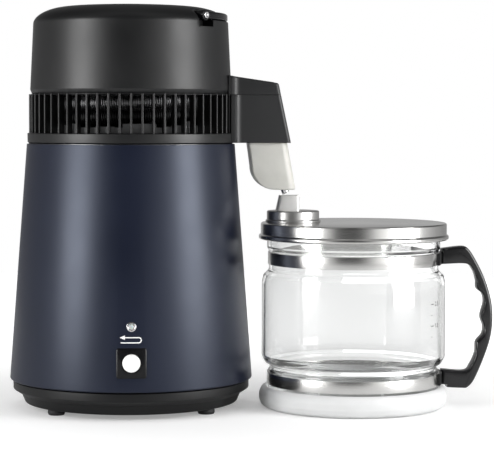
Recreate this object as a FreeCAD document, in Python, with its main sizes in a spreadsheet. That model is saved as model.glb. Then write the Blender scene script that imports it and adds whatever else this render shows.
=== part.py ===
import FreeCAD, Part
import math
import os
import re
import Sketcher

# A countertop water distiller: a boiler base, a lift-off fan head with a spout, and a glass collection jug.
# Millimetres, +Z up, front towards -Y, spout towards +X, origin on the floor under the middle of the whole.

doc = FreeCAD.newDocument("water_distiller")
sheet = doc.addObject("Spreadsheet::Sheet", "Sizes")

SIZES = [
    # boiler base
    ("foot_height", 5, "floor to the underside of the pan"),
    ("foot_radius", 8, "rubber foot"),
    ("foot_inset", 10, "pan's lower edge to the middle of a foot"),
    ("foot_angle", 41.2, "degrees from the sideways line to a foot"),
    ("foot_screw_recess", 3, "depth of the screw's recess in a foot"),
    ("screw_radius", 2, "shank of the larger screws"),
    ("screw_head_radius", 3.6, "head of the larger screws"),
    ("screw_head_height", 2.2, "head of the larger screws"),
    ("screw_clearance", 0.1, "radial, round a shank"),
    ("head_clearance", 0.4, "radial, round a screw's head"),
    ("boss_wall", 3, "plastic round a screw hole"),
    ("boss_height", 6, "screw bosses on the pan floor"),
    ("pan_height", 22, "pan, underside to rim"),
    ("pan_inset", 3, "shell's lower edge to the pan's rim"),
    ("pan_chamfer_width", 10, "rim to the pan's lower wall"),
    ("pan_rim_height", 8.5, "upright part of the rim"),
    ("pan_chamfer_height", 4.8, "slope under the rim"),
    ("pan_edge", 3, "bevel of the pan's lower edge"),
    ("pan_wall", 2.5, "pan, wall and floor"),
    ("pan_ledge_width", 11, "solid ledge that carries the shell"),
    ("pan_screw_depth", 14, "shank length of those screws"),
    ("pan_screw_sink", 7.5, "ledge left above a screw's head"),
    ("shell_foot_radius", 114, "outer shell at its lower edge"),
    ("shell_top_radius", 97.5, "outer shell at its upper edge"),
    ("shell_height", 220, "outer shell"),
    ("shell_wall", 0.8, "steel sheet of the shell"),
    ("shell_hem_width", 12.5, "turned-in lower edge"),
    ("shell_lip_width", 4, "turned-in upper edge"),
    ("tank_inset", 8.5, "shell's upper edge to the inside of the tank"),
    ("heater_space", 60.8, "shell's lower edge to the tank floor"),
    ("tank_wall", 0.8, "boiling tank"),
    ("tank_corner", 8, "bevel round the tank floor"),
    ("flange_inset", 2.5, "shell's upper edge to the tank's flange"),
    ("heater_inset", 15, "flat tank floor to the heater plate's edge"),
    ("heater_thickness", 6, "heater plate"),
    ("element_inset", 21, "heater plate's edge to the ring's middle line"),
    ("element_tube", 3.6, "radius of the heating ring's tube"),
    ("element_leg", 20, "length of the ring's cold ends"),
    ("element_leg_radius", 2.6, "the ring's cold ends"),
    ("wrap_gap", 0.3, "tank wall to insulation"),
    ("wrap_thickness", 6, "insulation"),
    ("wrap_lift", 14, "tank floor to the insulation's lower edge"),
    ("wrap_height", 88, "insulation"),
    ("thermostat_radius", 9, "boil-dry thermostat"),
    ("thermostat_height", 8, "boil-dry thermostat"),
    ("thermostat_x", 20, "its place under the plate"),
    ("thermostat_y", -12, "its place under the plate"),
    ("fuse_radius", 4, "thermal fuse"),
    ("fuse_length", 20, "thermal fuse"),
    ("fuse_x", -22, "its place under the plate"),
    ("terminal_length", 40, "terminal block"),
    ("terminal_width", 18, "terminal block"),
    ("terminal_height", 16, "terminal block"),
    ("terminal_y", 45, "its place on the pan floor"),
    # controls on the front, in a plane that touches the cone
    ("button_height", 53.4, "floor to the middle of the button"),
    ("button_radius", 8.0, "reset button"),
    ("button_proud", 0.8, "button in front of its plate"),
    ("button_gap", 0.25, "radial, round the button"),
    ("button_flange", 1.35, "button's stop flange, beyond its radius"),
    ("button_flange_thickness", 1.5, "stop flange"),
    ("button_stem_radius", 2, "stem behind the button"),
    ("button_stem_length", 6.3, "stem behind the flange"),
    ("plate_side", 27, "square plate round the button"),
    ("plate_proud", 1, "plate in front of the shell"),
    ("plate_face", 2.5, "thickness of the plate's face"),
    ("sleeve_side", 24, "square sleeve behind the plate"),
    ("sleeve_depth", 16, "sleeve behind the shell's surface"),
    ("sleeve_wall", 1.5, "sleeve"),
    ("fit_gap", 0.1, "each side of a part that sits in another"),
    ("hole_gap", 0.4, "each side of a part in a hole of the shell"),
    ("switch_depth", 7, "reset switch, at the sleeve's inner end"),
    ("spring_radius", 4.6, "button spring, middle line"),
    ("spring_wire", 0.4, "radius of the spring's wire"),
    ("spring_turns", 4, "button spring"),
    ("lamp_height", 85.6, "floor to the middle of the lamp"),
    ("lamp_radius", 2.8, "lens"),
    ("lamp_length", 7, "lens behind the shell's surface"),
    ("bezel_radius", 4.6, "bezel round the lens"),
    ("bezel_proud", 1, "bezel in front of the shell"),
    ("bezel_barrel", 3.7, "radius of the bezel's barrel"),
    ("nut_radius", 5.5, "nut behind the bezel"),
    ("nut_thickness", 2, "nut behind the bezel"),
    ("nut_seat", 1, "shell's outer surface to the nut"),
    # sockets at the back
    ("inlet_height", 58, "floor to the middle of the mains inlet"),
    ("inlet_flange_width", 31, "mains inlet"),
    ("inlet_flange_height", 25, "mains inlet"),
    ("inlet_flange_proud", 1, "mains inlet"),
    ("inlet_body_width", 27.6, "mains inlet"),
    ("inlet_body_height", 20.4, "mains inlet"),
    ("inlet_body_depth", 22, "mains inlet"),
    ("inlet_cavity_width", 24, "hollow that takes the plug"),
    ("inlet_cavity_height", 16.6, "hollow that takes the plug"),
    ("inlet_cavity_depth", 17, "hollow that takes the plug"),
    ("blade_width", 4, "contact blades"),
    ("blade_thickness", 2, "contact blades"),
    ("blade_length", 13, "contact blades, inside the hollow"),
    ("blade_tab", 7, "solder tabs behind the inlet"),
    ("blade_spacing", 7, "middle blade to an outer blade"),
    ("socket_flange_radius", 8, "round low-power sockets"),
    ("socket_flange_proud", 1.5, "round low-power sockets"),
    ("socket_body_radius", 6.2, "round low-power sockets"),
    ("socket_bore", 3.5, "round low-power sockets"),
    ("socket_floor", 1.6, "closed end behind the bore"),
    ("socket_pin", 1, "centre pin"),
    ("link_height", 86, "floor to the base's fan socket"),
    ("link_depth", 8, "depth of the base's fan socket"),
    ("head_socket_rise", 72, "head's lower edge to its socket"),
    ("head_socket_depth", 12, "depth of the head's socket"),
    # head
    ("head_gap", 0.3, "tank flange to the head's lower edge"),
    ("skirt_inset", 0.5, "shell's upper edge to the ring under the grille"),
    ("skirt_height", 8.9, "ring under the grille"),
    ("skirt_wall", 3.2, "ring under the grille"),
    ("seal_height", 2.5, "ring between tank and head"),
    ("seal_width", 2.8, "ring between tank and head"),
    ("closure_gap", 0.5, "skirt to the seal and the tank plate"),
    ("lid_plate_thickness", 1.2, "steel plate that closes the tank"),
    ("flange_thickness", 2, "housing's flange on that plate"),
    ("flange_width", 4, "housing's flange and top ring, inside the bars"),
    ("bar_inset", 1.6, "skirt to the outside of the bars"),
    ("bar_depth", 7.4, "grille bars, front to back"),
    ("bar_count", 58, "grille bars"),
    ("bar_height", 36, "grille bars"),
    ("slot_width", 8.3, "gap between two bars"),
    ("ring_height", 6, "ring above the bars, inside the cap"),
    ("ring_gap", 0.3, "cap to the ring above the bars"),
    ("ring_thickness", 4, "that ring's ledge"),
    ("coil_inset", 18, "bars to the coil's middle line"),
    ("coil_tube", 4.5, "radius of the coil's tube"),
    ("coil_lift", 11.5, "tank plate to the lower turn's middle line"),
    ("coil_pitch", 13, "rise of a turn"),
    ("coil_turns", 2, "condenser coil"),
    ("coil_joint_gap", 0.2, "coil end to the pipe that joins it"),
    ("fin_radius", 6.3, "cooling discs on the coil"),
    ("fin_thickness", 0.5, "cooling discs"),
    ("fin_step", 7.5, "degrees between two discs"),
    ("fin_gap", 0.02, "tube to the disc's hole"),
    ("riser_inset", 16, "coil's middle line to the steam pipe"),
    ("pipe_tube", 4.5, "radius of the steam and outlet pipes"),
    ("pipe_bore", 3.5, "bore of the outlet pipe"),
    ("pipe_inset", 19.3, "spout's lower corner to the outlet pipe's end"),
    ("pipe_end_drop", 2.1, "outlet pipe's end below the head's edge"),
    ("bracket_thickness", 2, "motor bracket"),
    ("bracket_arm", 22, "width of its arms"),
    ("bracket_margin", 6, "bracket's middle beyond the motor"),
    ("bracket_hole", 6, "hole for the shaft"),
    ("motor_radius", 30, "fan motor"),
    ("motor_height", 27, "fan motor"),
    ("motor_screw_inset", 8, "motor's edge to its screws"),
    ("motor_screw_radius", 1.5, "shank"),
    ("motor_screw_length", 9, "shank"),
    ("shaft_radius", 2.5, "fan shaft"),
    ("shaft_clearance", 0.05, "radial, in the motor"),
    ("shaft_reach", 21, "shaft inside the motor"),
    ("shaft_end_gap", 2, "shaft's end to the bore's end"),
    ("shaft_stub", 1, "shaft beyond the fan hub"),
    ("rotor_top_gap", 4, "bracket to the fan hub"),
    ("rotor_hub_radius", 13, "fan hub"),
    ("rotor_hub_height", 18, "fan hub"),
    ("rotor_gap", 5.5, "steam pipe to the fan blades"),
    ("rotor_blades", 7, "fan blades"),
    ("rotor_blade_width", 17, "fan blades"),
    ("rotor_blade_thickness", 1.6, "fan blades"),
    ("rotor_blade_pitch", 30, "degrees"),
    ("head_screw_radius", 1.6, "shank"),
    ("head_screw_length", 17, "shank"),
    ("head_screw_head", 2.6, "radius of the head"),
    ("head_screw_recess", 6, "depth of the recess under its head"),
    ("head_screw_inset", 4, "ring above the bars to its screws"),
    ("cap_inset", 1, "bars to the cap's lower edge"),
    ("cap_taper", 3.2, "cap's lower edge to where it starts to round over"),
    ("cap_round_width", 33.2, "that place to the edge of the nearly flat crown"),
    ("cap_wall", 2.5, "cap"),
    ("cap_side_height", 65.4, "cap's lower edge to where it rounds over"),
    ("cap_height", 83.8, "cap's lower edge to its top"),
    ("cap_crown_rise", 2.4, "rise of the crown towards its middle"),
    ("cap_rebate_wall", 3, "plastic inside the bail's rebate"),
    # folding bail
    ("bail_angle", -41, "degrees from +X to the front pin"),
    ("bail_lift", 6.3, "where the cap rounds over to the pin's axis"),
    ("bail_inset", 0.7, "cap's side to the outside of the bail"),
    ("bail_width", 9, "bail"),
    ("bail_thickness", 7.2, "bail"),
    ("bail_bevel", 2, "bevel along the bail's edges"),
    ("bail_floor_gap", 0.5, "bail to the rebate's floor"),
    ("bail_wall_gap", 1.5, "bail to the rebate's wall"),
    ("bail_lug_radius", 5, "rounded end round the pin"),
    ("bail_pocket_half", 9.6, "half width of the pocket at a pin"),
    ("bail_pocket_depth", 10, "pin's axis to the pocket's floor"),
    ("pin_radius", 2.5, "handle pin"),
    ("pin_clearance", 0.05, "radial"),
    ("pin_length", 16.5, "handle pin"),
    ("pin_head_radius", 3.6, "handle pin"),
    ("pin_head_height", 1, "handle pin"),
    # spout
    ("spout_width", 44, "spout housing"),
    ("spout_wall", 2.5, "spout housing"),
    ("spout_overhang", 35.3, "shell's lower edge to the spout's lower corner"),
    ("spout_lean", 11.8, "lower corner to the upper corner, sideways"),
    ("spout_corner_rise", 56, "head's lower edge to the upper corner"),
    ("spout_top_rise", 62.7, "head's lower edge to the top at the cap"),
    ("spout_root_depth", 2.5, "spout inside the skirt"),
    ("cup_insert", 8, "cup inside the housing"),
    ("cup_standoff", 14, "spout's root to the cup's inner side"),
    ("cup_drop", 44, "head's lower edge to the cup's lowest point"),
    ("cup_bend_radius", 22, "rounding of the cup's lower side"),
    ("cup_bend_inset", 26, "cup's inner side to the middle of that rounding"),
    ("cup_lip_overhang", 4.7, "spout's lower corner to the cup's outer lower corner"),
    ("cup_lip_rise", 2, "lowest point to the outer lower corner"),
    ("cup_gap", 0.2, "each side of the cup in the housing"),
    ("cup_wall", 1.8, "cup"),
    ("tip_inset", 3.8, "spout's lower corner to the nozzle tip"),
    ("tip_reach", 4.7, "nozzle tip below the cup"),
    ("tip_radius", 3.5, "nozzle tip"),
    ("tip_bore", 2, "nozzle tip"),
    ("tip_length", 9, "nozzle tip"),
    ("tip_clearance", 0.8, "inlet funnel to the nozzle tip"),
    ("filter_margin", 7.15, "cup's ends to the charcoal bag"),
    ("filter_side_gap", 5.6, "cup's inner sides to the charcoal bag"),
    ("filter_height", 24, "charcoal bag"),
    ("filter_sink", 5, "bend's middle to the bag's lower end"),
    # jug
    ("jug_forward", 16, "jug's axis in front of the distiller's"),
    ("pad_margin", 2.2, "glass body to the outside of the base pad"),
    ("pad_height", 20, "silicone base pad"),
    ("pad_floor", 5, "silicone under the glass"),
    ("pad_edge", 5.5, "rounding of the pad"),
    ("pad_gap", 0.5, "glass foot to pad"),
    ("glass_wall", 2.6, "jug glass"),
    ("glass_foot_inset", 6, "body to the glass foot"),
    ("glass_waist_inset", 8.6, "body to the groove above the foot"),
    ("glass_body_radius", 86.4, "outside of the glass body"),
    ("glass_neck_inset", 6.7, "body to the neck"),
    ("glass_rim_inset", 5.1, "body to the outside of the mouth"),
    ("glass_foot_margin", 1.3, "lower band to the top of the foot"),
    ("glass_waist_rise", 4.3, "top of the foot to the groove"),
    ("glass_belly_rise", 8.2, "groove to the start of the body"),
    ("glass_shoulder_fall", 10.5, "start of the neck down to the end of the body"),
    ("glass_neck_length", 18.5, "neck"),
    ("glass_mouth_height", 20.2, "mouth's edge down to the neck"),
    ("band_gap", 0.05, "glass to band"),
    ("band_thickness", 0.8, "steel bands"),
    ("lower_band_height", 11.2, "width of the lower band"),
    ("lower_band_margin", 2, "base pad to the lower band"),
    ("upper_band_height", 11.4, "width of the upper band"),
    ("upper_band_margin", 0.9, "mouth's flare to the upper band"),
    ("bracket_gap", 0.1, "band to bracket"),
    ("bracket_plate", 2, "thickness of the handle brackets"),
    ("bracket_spread", 40, "degrees that a bracket covers"),
    ("tongue_length", 14, "bracket's tongue in the handle"),
    ("tongue_thickness", 2, "bracket's tongue"),
    ("tongue_height", 7, "bracket's tongue"),
    ("handle_width", 15, "jug handle, front to back"),
    ("handle_overhang", 45.4, "body to the handle's outside"),
    ("handle_gap", 0.1, "bracket to handle"),
    ("handle_screw_inset", 8, "bracket to the screw's axis"),
    ("handle_screw_radius", 1.6, "band screws"),
    ("handle_screw_head", 2.8, "band screws"),
    ("handle_screw_length", 9, "band screws, shank"),
    ("screw_end_gap", 1, "a screw's end to the bottom of its hole"),
    # jug lid
    ("lid_seal_height", 5.6, "mouth's edge to the underside of the lid"),
    ("lid_margin", 1, "glass body to the outside of the lid"),
    ("lid_bead", 1.8, "rolled bead, beyond the lid's side"),
    ("lid_skirt", 15.7, "lid's top to the bead's lower edge"),
    ("lid_bead_height", 5.3, "rolled bead"),
    ("lid_wall", 0.8, "steel of the lid"),
    ("lid_seal_inside", 3.3, "mouth's outside to the seal's inside"),
    ("lid_seal_outside", 3.2, "mouth's outside to the seal's outside"),
    ("lid_hole", 9.5, "water hole in the lid"),
    ("inlet_inset", 31.5, "lid's edge to the inlet's axis"),
    ("inlet_shift", 7.5, "nozzle tip to the inlet's axis"),
    ("inlet_cap_radius", 23.7, "round cap on the lid"),
    ("inlet_cap_height", 10.6, "round cap on the lid"),
    ("inlet_bead", 1.2, "bead round the cap's foot, beyond its radius"),
    ("inlet_bead_height", 2.2, "bead round the cap's foot"),
    ("funnel_height", 14.6, "squeezed mouth on the cap"),
    ("funnel_left_foot", 16.3, "inlet's axis to the mouth's near side, below"),
    ("funnel_left_top", 13.2, "inlet's axis to the mouth's near side, above"),
    ("funnel_right", 5.7, "inlet's axis to the mouth's far side"),
    ("funnel_width", 16, "mouth, front to back"),
    ("funnel_wall", 0.8, "mouth"),
    ("overshoot", 5, "how far a cutting outline runs past its solid"),
]

for row, (alias, size, meaning) in enumerate(SIZES, start=1):
    sheet.set(f"A{row}", alias)
    sheet.set(f"B{row}", str(size))
    sheet.set(f"C{row}", meaning)
    sheet.setAlias(f"B{row}", alias)
doc.recompute()
ALIASES = {alias for alias, size, meaning in SIZES}

# Sizes and places that follow from the ones above. Each is a name that any formula may use.
FOLLOWS = {
    # base
    "shell_bottom": "foot_height + pan_height",
    "shell_top": "shell_bottom + shell_height",
    "cone_slope": "(shell_foot_radius - shell_top_radius) / shell_height",
    "cone_angle": "atan(cone_slope)",
    "pan_floor": "foot_height + pan_wall",
    "pan_rim_radius": "shell_foot_radius - pan_inset",
    "pan_low_radius": "pan_rim_radius - pan_chamfer_width",
    "pan_screw_ring": "pan_rim_radius - pan_ledge_width / 2",
    "foot_x": "(pan_low_radius - foot_inset) * cos(foot_angle)",
    "foot_y": "(pan_low_radius - foot_inset) * sin(foot_angle)",
    "tank_radius": "shell_top_radius - tank_inset",
    "tank_flange_radius": "shell_top_radius - flange_inset",
    "tank_top": "shell_top + tank_wall",
    "tank_floor": "shell_bottom + heater_space",
    "plate_top": "tank_floor - tank_wall",
    "plate_under": "plate_top - heater_thickness",
    "heater_radius": "tank_radius - tank_corner - heater_inset",
    "element_radius": "heater_radius - element_inset",
    # head
    "head_bottom": "tank_top + head_gap",
    "skirt_radius": "shell_top_radius - skirt_inset",
    "closure_radius": "skirt_radius - skirt_wall - closure_gap",
    "seal_top": "tank_top + seal_height",
    "lid_plate_top": "seal_top + lid_plate_thickness",
    "bar_foot": "head_bottom + skirt_height",
    "bar_outer": "skirt_radius - bar_inset",
    "bar_inner": "bar_outer - bar_depth",
    "flange_inner": "bar_inner - flange_width",
    "seam": "bar_foot + bar_height",
    "ring_top": "seam + ring_height",
    "ring_outer": "cap_foot_radius - cap_wall - ring_gap",
    "head_screw_ring": "ring_outer - head_screw_inset",
    "bracket_top": "ring_top + bracket_thickness",
    "motor_screw_ring": "motor_radius - motor_screw_inset",
    "coil_radius": "bar_inner - coil_inset",
    "coil_low": "lid_plate_top + coil_lift",
    "coil_high": "coil_low + coil_pitch * coil_turns",
    "riser_radius": "coil_radius - riser_inset",
    "rotor_radius": "riser_radius - pipe_tube - rotor_gap",
    "rotor_middle": "ring_top - rotor_top_gap - rotor_hub_height / 2",
    "cap_foot_radius": "bar_outer - cap_inset",
    "head_socket_height": "head_bottom + head_socket_rise",
    "cap_brow_radius": "cap_foot_radius - cap_taper",
    "cap_crown_radius": "cap_brow_radius - cap_round_width",
    "cap_top": "seam + cap_height",
    "cap_brow": "seam + cap_side_height",
    "cap_shoulder": "cap_top - cap_crown_rise",
    "bail_axis": "cap_brow + bail_lift",
    "bail_radius": "cap_brow_radius - bail_inset - bail_width / 2",
    "rebate_floor": "bail_axis - bail_thickness / 2 - bail_floor_gap",
    "rebate_radius": "bail_radius - bail_width / 2 - bail_wall_gap",
    "cap_inside": "rebate_floor - cap_wall",
    # spout
    "spout_root": "skirt_radius - spout_root_depth",
    "spout_foot_reach": "shell_foot_radius + spout_overhang",
    "spout_top_reach": "spout_foot_reach - spout_lean",
    "spout_corner": "head_bottom + spout_corner_rise",
    "pipe_drop_x": "spout_foot_reach - pipe_inset",
    "cup_left": "spout_root + cup_standoff",
    "cup_right": "spout_foot_reach - spout_wall - cup_gap",
    "cup_low": "head_bottom - cup_drop",
    "cup_bend_x": "cup_left + cup_bend_inset",
    "cup_bend_z": "cup_low + cup_bend_radius",
    "cup_lip_reach": "spout_foot_reach + cup_lip_overhang",
    "cup_half_width": "spout_width / 2 - spout_wall - cup_gap",
    "filter_half_width": "cup_half_width - cup_wall - filter_side_gap",
    "tip_x": "spout_foot_reach - tip_inset",
    "tip_low": "cup_low - tip_reach",
    # jug
    "funnel_top": "tip_low - tip_clearance",
    "inlet_cap_top": "funnel_top - funnel_height",
    "lid_top": "inlet_cap_top - inlet_cap_height",
    "lid_radius": "glass_body_radius + lid_margin",
    "lid_bead_radius": "lid_radius + lid_bead",
    "inlet_reach": "tip_x + inlet_shift",
    "jug_offset": "inlet_reach + lid_radius - inlet_inset",
    "pad_radius": "glass_body_radius + pad_margin",
    "glass_foot_radius": "glass_body_radius - glass_foot_inset",
    "glass_waist_radius": "glass_body_radius - glass_waist_inset",
    "glass_neck_radius": "glass_body_radius - glass_neck_inset",
    "glass_rim_radius": "glass_body_radius - glass_rim_inset",
    "glass_rim": "lid_top - lid_wall - lid_seal_height",
    "glass_flare": "glass_rim - glass_mouth_height",
    "glass_neck": "glass_flare - glass_neck_length",
    "glass_shoulder": "glass_neck - glass_shoulder_fall",
    "glass_foot": "lower_band_lift + lower_band_height + glass_foot_margin",
    "glass_waist": "glass_foot + glass_waist_rise",
    "glass_belly": "glass_waist + glass_belly_rise",
    "lower_band_lift": "pad_height + lower_band_margin",
    "upper_band_lift": "glass_flare - upper_band_margin - upper_band_height",
    "handle_reach": "glass_body_radius + handle_overhang",
    # the two axes in the whole
    "machine_x": "(shell_foot_radius - jug_offset - handle_reach) / 2",
    "jug_x": "machine_x + jug_offset",
}
NODES = []


# ---------- helpers ----------


def in_sheet(text):
    """Write a plain formula for the spreadsheet: its name before each size, and what follows written out."""

    def written_out(word):
        if word[0] in FOLLOWS:
            return "(" + in_sheet(FOLLOWS[word[0]]) + ")"
        return "Sizes." + word[0] if word[0] in ALIASES else word[0]

    return re.sub(r"[a-z_]\w*", written_out, str(text))


def size_of(text):
    """The present value of a formula."""
    return float(sheet.evalExpression(in_sheet(text)))


def bind(feature, name, text):
    feature.setExpression(name, in_sheet(text))


def place(feature, x=0, y=0, z=0, yaw=0, pitch=0, roll=0, name="Placement"):
    """Bind where a feature stands; the angles are degrees about Z, Y and X."""
    bind(feature, name, f"placement(vector({x}; {y}; {z}); rotation({yaw}; {pitch}; {roll}))")


def node(feature, label):
    """Name a finished sub-part; its file takes the same name."""
    feature.Label = label
    NODES.append(feature)
    return feature


def new_body(name):
    return doc.addObject("PartDesign::Body", name)


def sketch(body, plane, outline, lift=0, turn=0):
    """A closed outline of straight sides on one of the body's own planes.

    Each corner is a pair of formulas. lift moves the sketch along the plane's normal and
    turn swings it about its own upright axis.
    """
    flat = body.newObject("Sketcher::SketchObject", "outline")
    support = [origin for origin in body.Origin.OriginFeatures if origin.Role == plane + "_Plane"]
    flat.AttachmentSupport = [(support[0], "")]
    flat.MapMode = "FlatFace"
    place(flat, z=lift, pitch=turn, name="AttachmentOffset")
    corners = [FreeCAD.Vector(size_of(across), size_of(up), 0) for across, up in outline]
    count = len(corners)
    for index, corner in enumerate(corners):
        flat.addGeometry(Part.LineSegment(corner, corners[(index + 1) % count]), False)
    for index in range(count):
        flat.addConstraint(Sketcher.Constraint("Coincident", index, 2, (index + 1) % count, 1))
    for index, corner in enumerate(corners):
        for kind, measure, formula in (
            ("DistanceX", corner.x, outline[index][0]),
            ("DistanceY", corner.y, outline[index][1]),
        ):
            number = flat.addConstraint(Sketcher.Constraint(kind, index, 1, measure))
            bind(flat, f"Constraints[{number}]", formula)
    return flat


def circle_sketch(body, plane, across, up, radius, lift=0):
    """A circle on one of the body's own planes."""
    flat = body.newObject("Sketcher::SketchObject", "round")
    support = [origin for origin in body.Origin.OriginFeatures if origin.Role == plane + "_Plane"]
    flat.AttachmentSupport = [(support[0], "")]
    flat.MapMode = "FlatFace"
    place(flat, z=lift, name="AttachmentOffset")
    middle = FreeCAD.Vector(size_of(across), size_of(up), 0)
    flat.addGeometry(Part.Circle(middle, FreeCAD.Vector(0, 0, 1), size_of(radius)), False)
    number = flat.addConstraint(Sketcher.Constraint("Radius", 0, size_of(radius)))
    bind(flat, f"Constraints[{number}]", radius)
    for kind, measure, formula in (("DistanceX", middle.x, across), ("DistanceY", middle.y, up)):
        number = flat.addConstraint(Sketcher.Constraint(kind, 0, 3, measure))
        bind(flat, f"Constraints[{number}]", formula)
    return flat


def revolve(body, flat, angle=360, cut=False, middle=False):
    """Turn a sketch about its own upright axis."""
    kind = "Groove" if cut else "Revolution"
    feature = body.newObject("PartDesign::" + kind, kind.lower())
    feature.Profile = flat
    feature.ReferenceAxis = (flat, ["V_Axis"])
    feature.Midplane = middle
    bind(feature, "Angle", angle)
    flat.Visibility = False
    return feature


def extrude(body, flat, length, cut=False, against=False, middle=False):
    """Pad or pocket a sketch along its normal, or against it."""
    kind = "Pocket" if cut else "Pad"
    feature = body.newObject("PartDesign::" + kind, kind.lower())
    feature.Profile = flat
    feature.Midplane = middle
    feature.Reversed = against != cut
    bind(feature, "Length", length)
    flat.Visibility = False
    return feature


def around(body, feature, count):
    """Repeat one feature round the upright axis."""
    pattern = body.newObject("PartDesign::PolarPattern", "around")
    pattern.Originals = [feature]
    axis = [origin for origin in body.Origin.OriginFeatures if origin.Role == "Z_Axis"]
    pattern.Axis = (axis[0], [""])
    pattern.Angle = 360
    bind(pattern, "Occurrences", count)
    body.Tip = pattern
    return pattern


def lathe(label, outline, **where):
    """A turned sub-part from its half section, given as radius and height."""
    body = new_body(label)
    revolve(body, sketch(body, "XZ", outline))
    place(body, **where)
    return body


def block(width, depth, height, **where):
    """A box that stands on the middle of its foot."""
    solid = doc.addObject("Part::Box", "block")
    bind(solid, "Length", width)
    bind(solid, "Width", depth)
    bind(solid, "Height", height)
    place(solid, **where)
    return solid


def cylinder(radius, height, **where):
    solid = doc.addObject("Part::Cylinder", "round_bar")
    bind(solid, "Radius", radius)
    bind(solid, "Height", height)
    place(solid, **where)
    return solid


def fuse(parts, **where):
    joined = doc.addObject("Part::MultiFuse", "joined")
    joined.Shapes = parts
    joined.Refine = True
    place(joined, **where)
    return joined


def cut(base, tools, **where):
    result = doc.addObject("Part::Cut", "trimmed")
    result.Base = base
    result.Tool = tools[0] if len(tools) == 1 else fuse(tools)
    result.Refine = True
    place(result, **where)
    return result


def group(parts, **where):
    """Like pieces that share one node as separate solids."""
    together = doc.addObject("Part::Compound", "group")
    together.Links = parts
    place(together, **where)
    return together


def polar(radius, degrees):
    """Place formulas for a point on a circle."""
    return {"x": f"({radius}) * cos({degrees})", "y": f"({radius}) * sin({degrees})"}


# ---------- places that several sub-parts share ----------

on_machine = {"x": "machine_x"}
on_jug = {"x": "jug_x", "y": "-jug_forward"}


def cone_radius(height):
    return f"(shell_foot_radius - (({height}) - shell_bottom) * cone_slope)"


def spout_edge(height):
    """Axis to the spout's sloping end at a height."""
    return f"(spout_foot_reach - (({height}) - head_bottom) * spout_lean / spout_corner_rise)"


def front_panel(height):
    """A frame that touches the cone at the front, with +Y into the shell."""
    return {"x": "machine_x", "y": f"-{cone_radius(height)}", "z": height, "roll": "-cone_angle"}


def back_panel(height):
    """A frame that touches the cone at the back, with +Y out of the shell."""
    return {"x": "machine_x", "y": cone_radius(height), "z": height, "roll": "cone_angle"}


def rectangle(left, right, low, high):
    return [(left, low), (right, low), (right, high), (left, high)]


def square(half):
    return rectangle(f"-({half})", half, f"-({half})", half)


# ---------- boiler base ----------


def base_pan():
    chamfer_foot = "(shell_bottom - pan_rim_height - pan_chamfer_height)"
    ledge = "pan_rim_radius - pan_ledge_width"
    body = lathe(
        "base_pan",
        [
            ("0", "foot_height"),
            ("pan_low_radius - pan_edge", "foot_height"),
            ("pan_low_radius", "foot_height + pan_edge"),
            ("pan_low_radius", chamfer_foot),
            ("pan_rim_radius", f"{chamfer_foot} + pan_chamfer_height"),
            ("pan_rim_radius", "shell_bottom"),
            (ledge, "shell_bottom"),
            (ledge, f"{chamfer_foot} + pan_wall"),
            ("pan_low_radius - pan_wall", chamfer_foot),
            ("pan_low_radius - pan_wall", "pan_floor"),
            ("0", "pan_floor"),
        ],
        **on_machine,
    )
    hole = "screw_radius + screw_clearance"
    for side in ("foot_x", "-foot_x"):
        for depth in ("foot_y", "-foot_y"):
            boss = circle_sketch(body, "XY", side, depth, f"{hole} + boss_wall", lift="pan_floor")
            extrude(body, boss, "boss_height")
            bore = circle_sketch(body, "XY", side, depth, hole, lift="foot_height")
            extrude(body, bore, "pan_wall + boss_height", cut=True)
    bore = circle_sketch(body, "XY", "pan_screw_ring", "0", hole, lift="foot_height")
    around(body, extrude(body, bore, "pan_height", cut=True), "4")
    recess = circle_sketch(
        body, "XY", "pan_screw_ring", "0", "screw_head_radius + head_clearance", lift="foot_height"
    )
    around(body, extrude(body, recess, "pan_height - pan_screw_sink", cut=True), "4")
    node(body, "base_pan")


def screw(head_radius, head_height, shank_radius, shank_length, **where):
    """A screw that points up, with the seat of its head at its own zero."""
    head = cylinder(head_radius, head_height, z=f"-({head_height})")
    shank = cylinder(shank_radius, shank_length)
    return fuse([head, shank], **where)


def feet_and_screws():
    feet = []
    foot_screws = []
    for side in ("foot_x", "-foot_x"):
        for depth in ("foot_y", "-foot_y"):
            bore = cylinder("screw_radius + screw_clearance", "foot_height")
            recess = cylinder("screw_head_radius + head_clearance", "foot_screw_recess")
            feet.append(cut(cylinder("foot_radius", "foot_height"), [bore, recess], x=side, y=depth))
            length = "foot_height - foot_screw_recess + pan_wall + boss_height - screw_end_gap"
            foot_screws.append(
                screw("screw_head_radius", "screw_head_height", "screw_radius", length,
                      x=side, y=depth, z="foot_screw_recess")
            )
    node(group(feet, **on_machine), "rubber_feet")
    node(group(foot_screws, **on_machine), "foot_screws")
    pan_screws = []
    for quarter in range(4):
        where = polar("pan_screw_ring", 90 * quarter)
        pan_screws.append(
            screw("screw_head_radius", "screw_head_height", "screw_radius", "pan_screw_depth",
                  z="shell_bottom - pan_screw_sink", **where)
        )
    node(group(pan_screws, **on_machine), "pan_screws")


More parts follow.
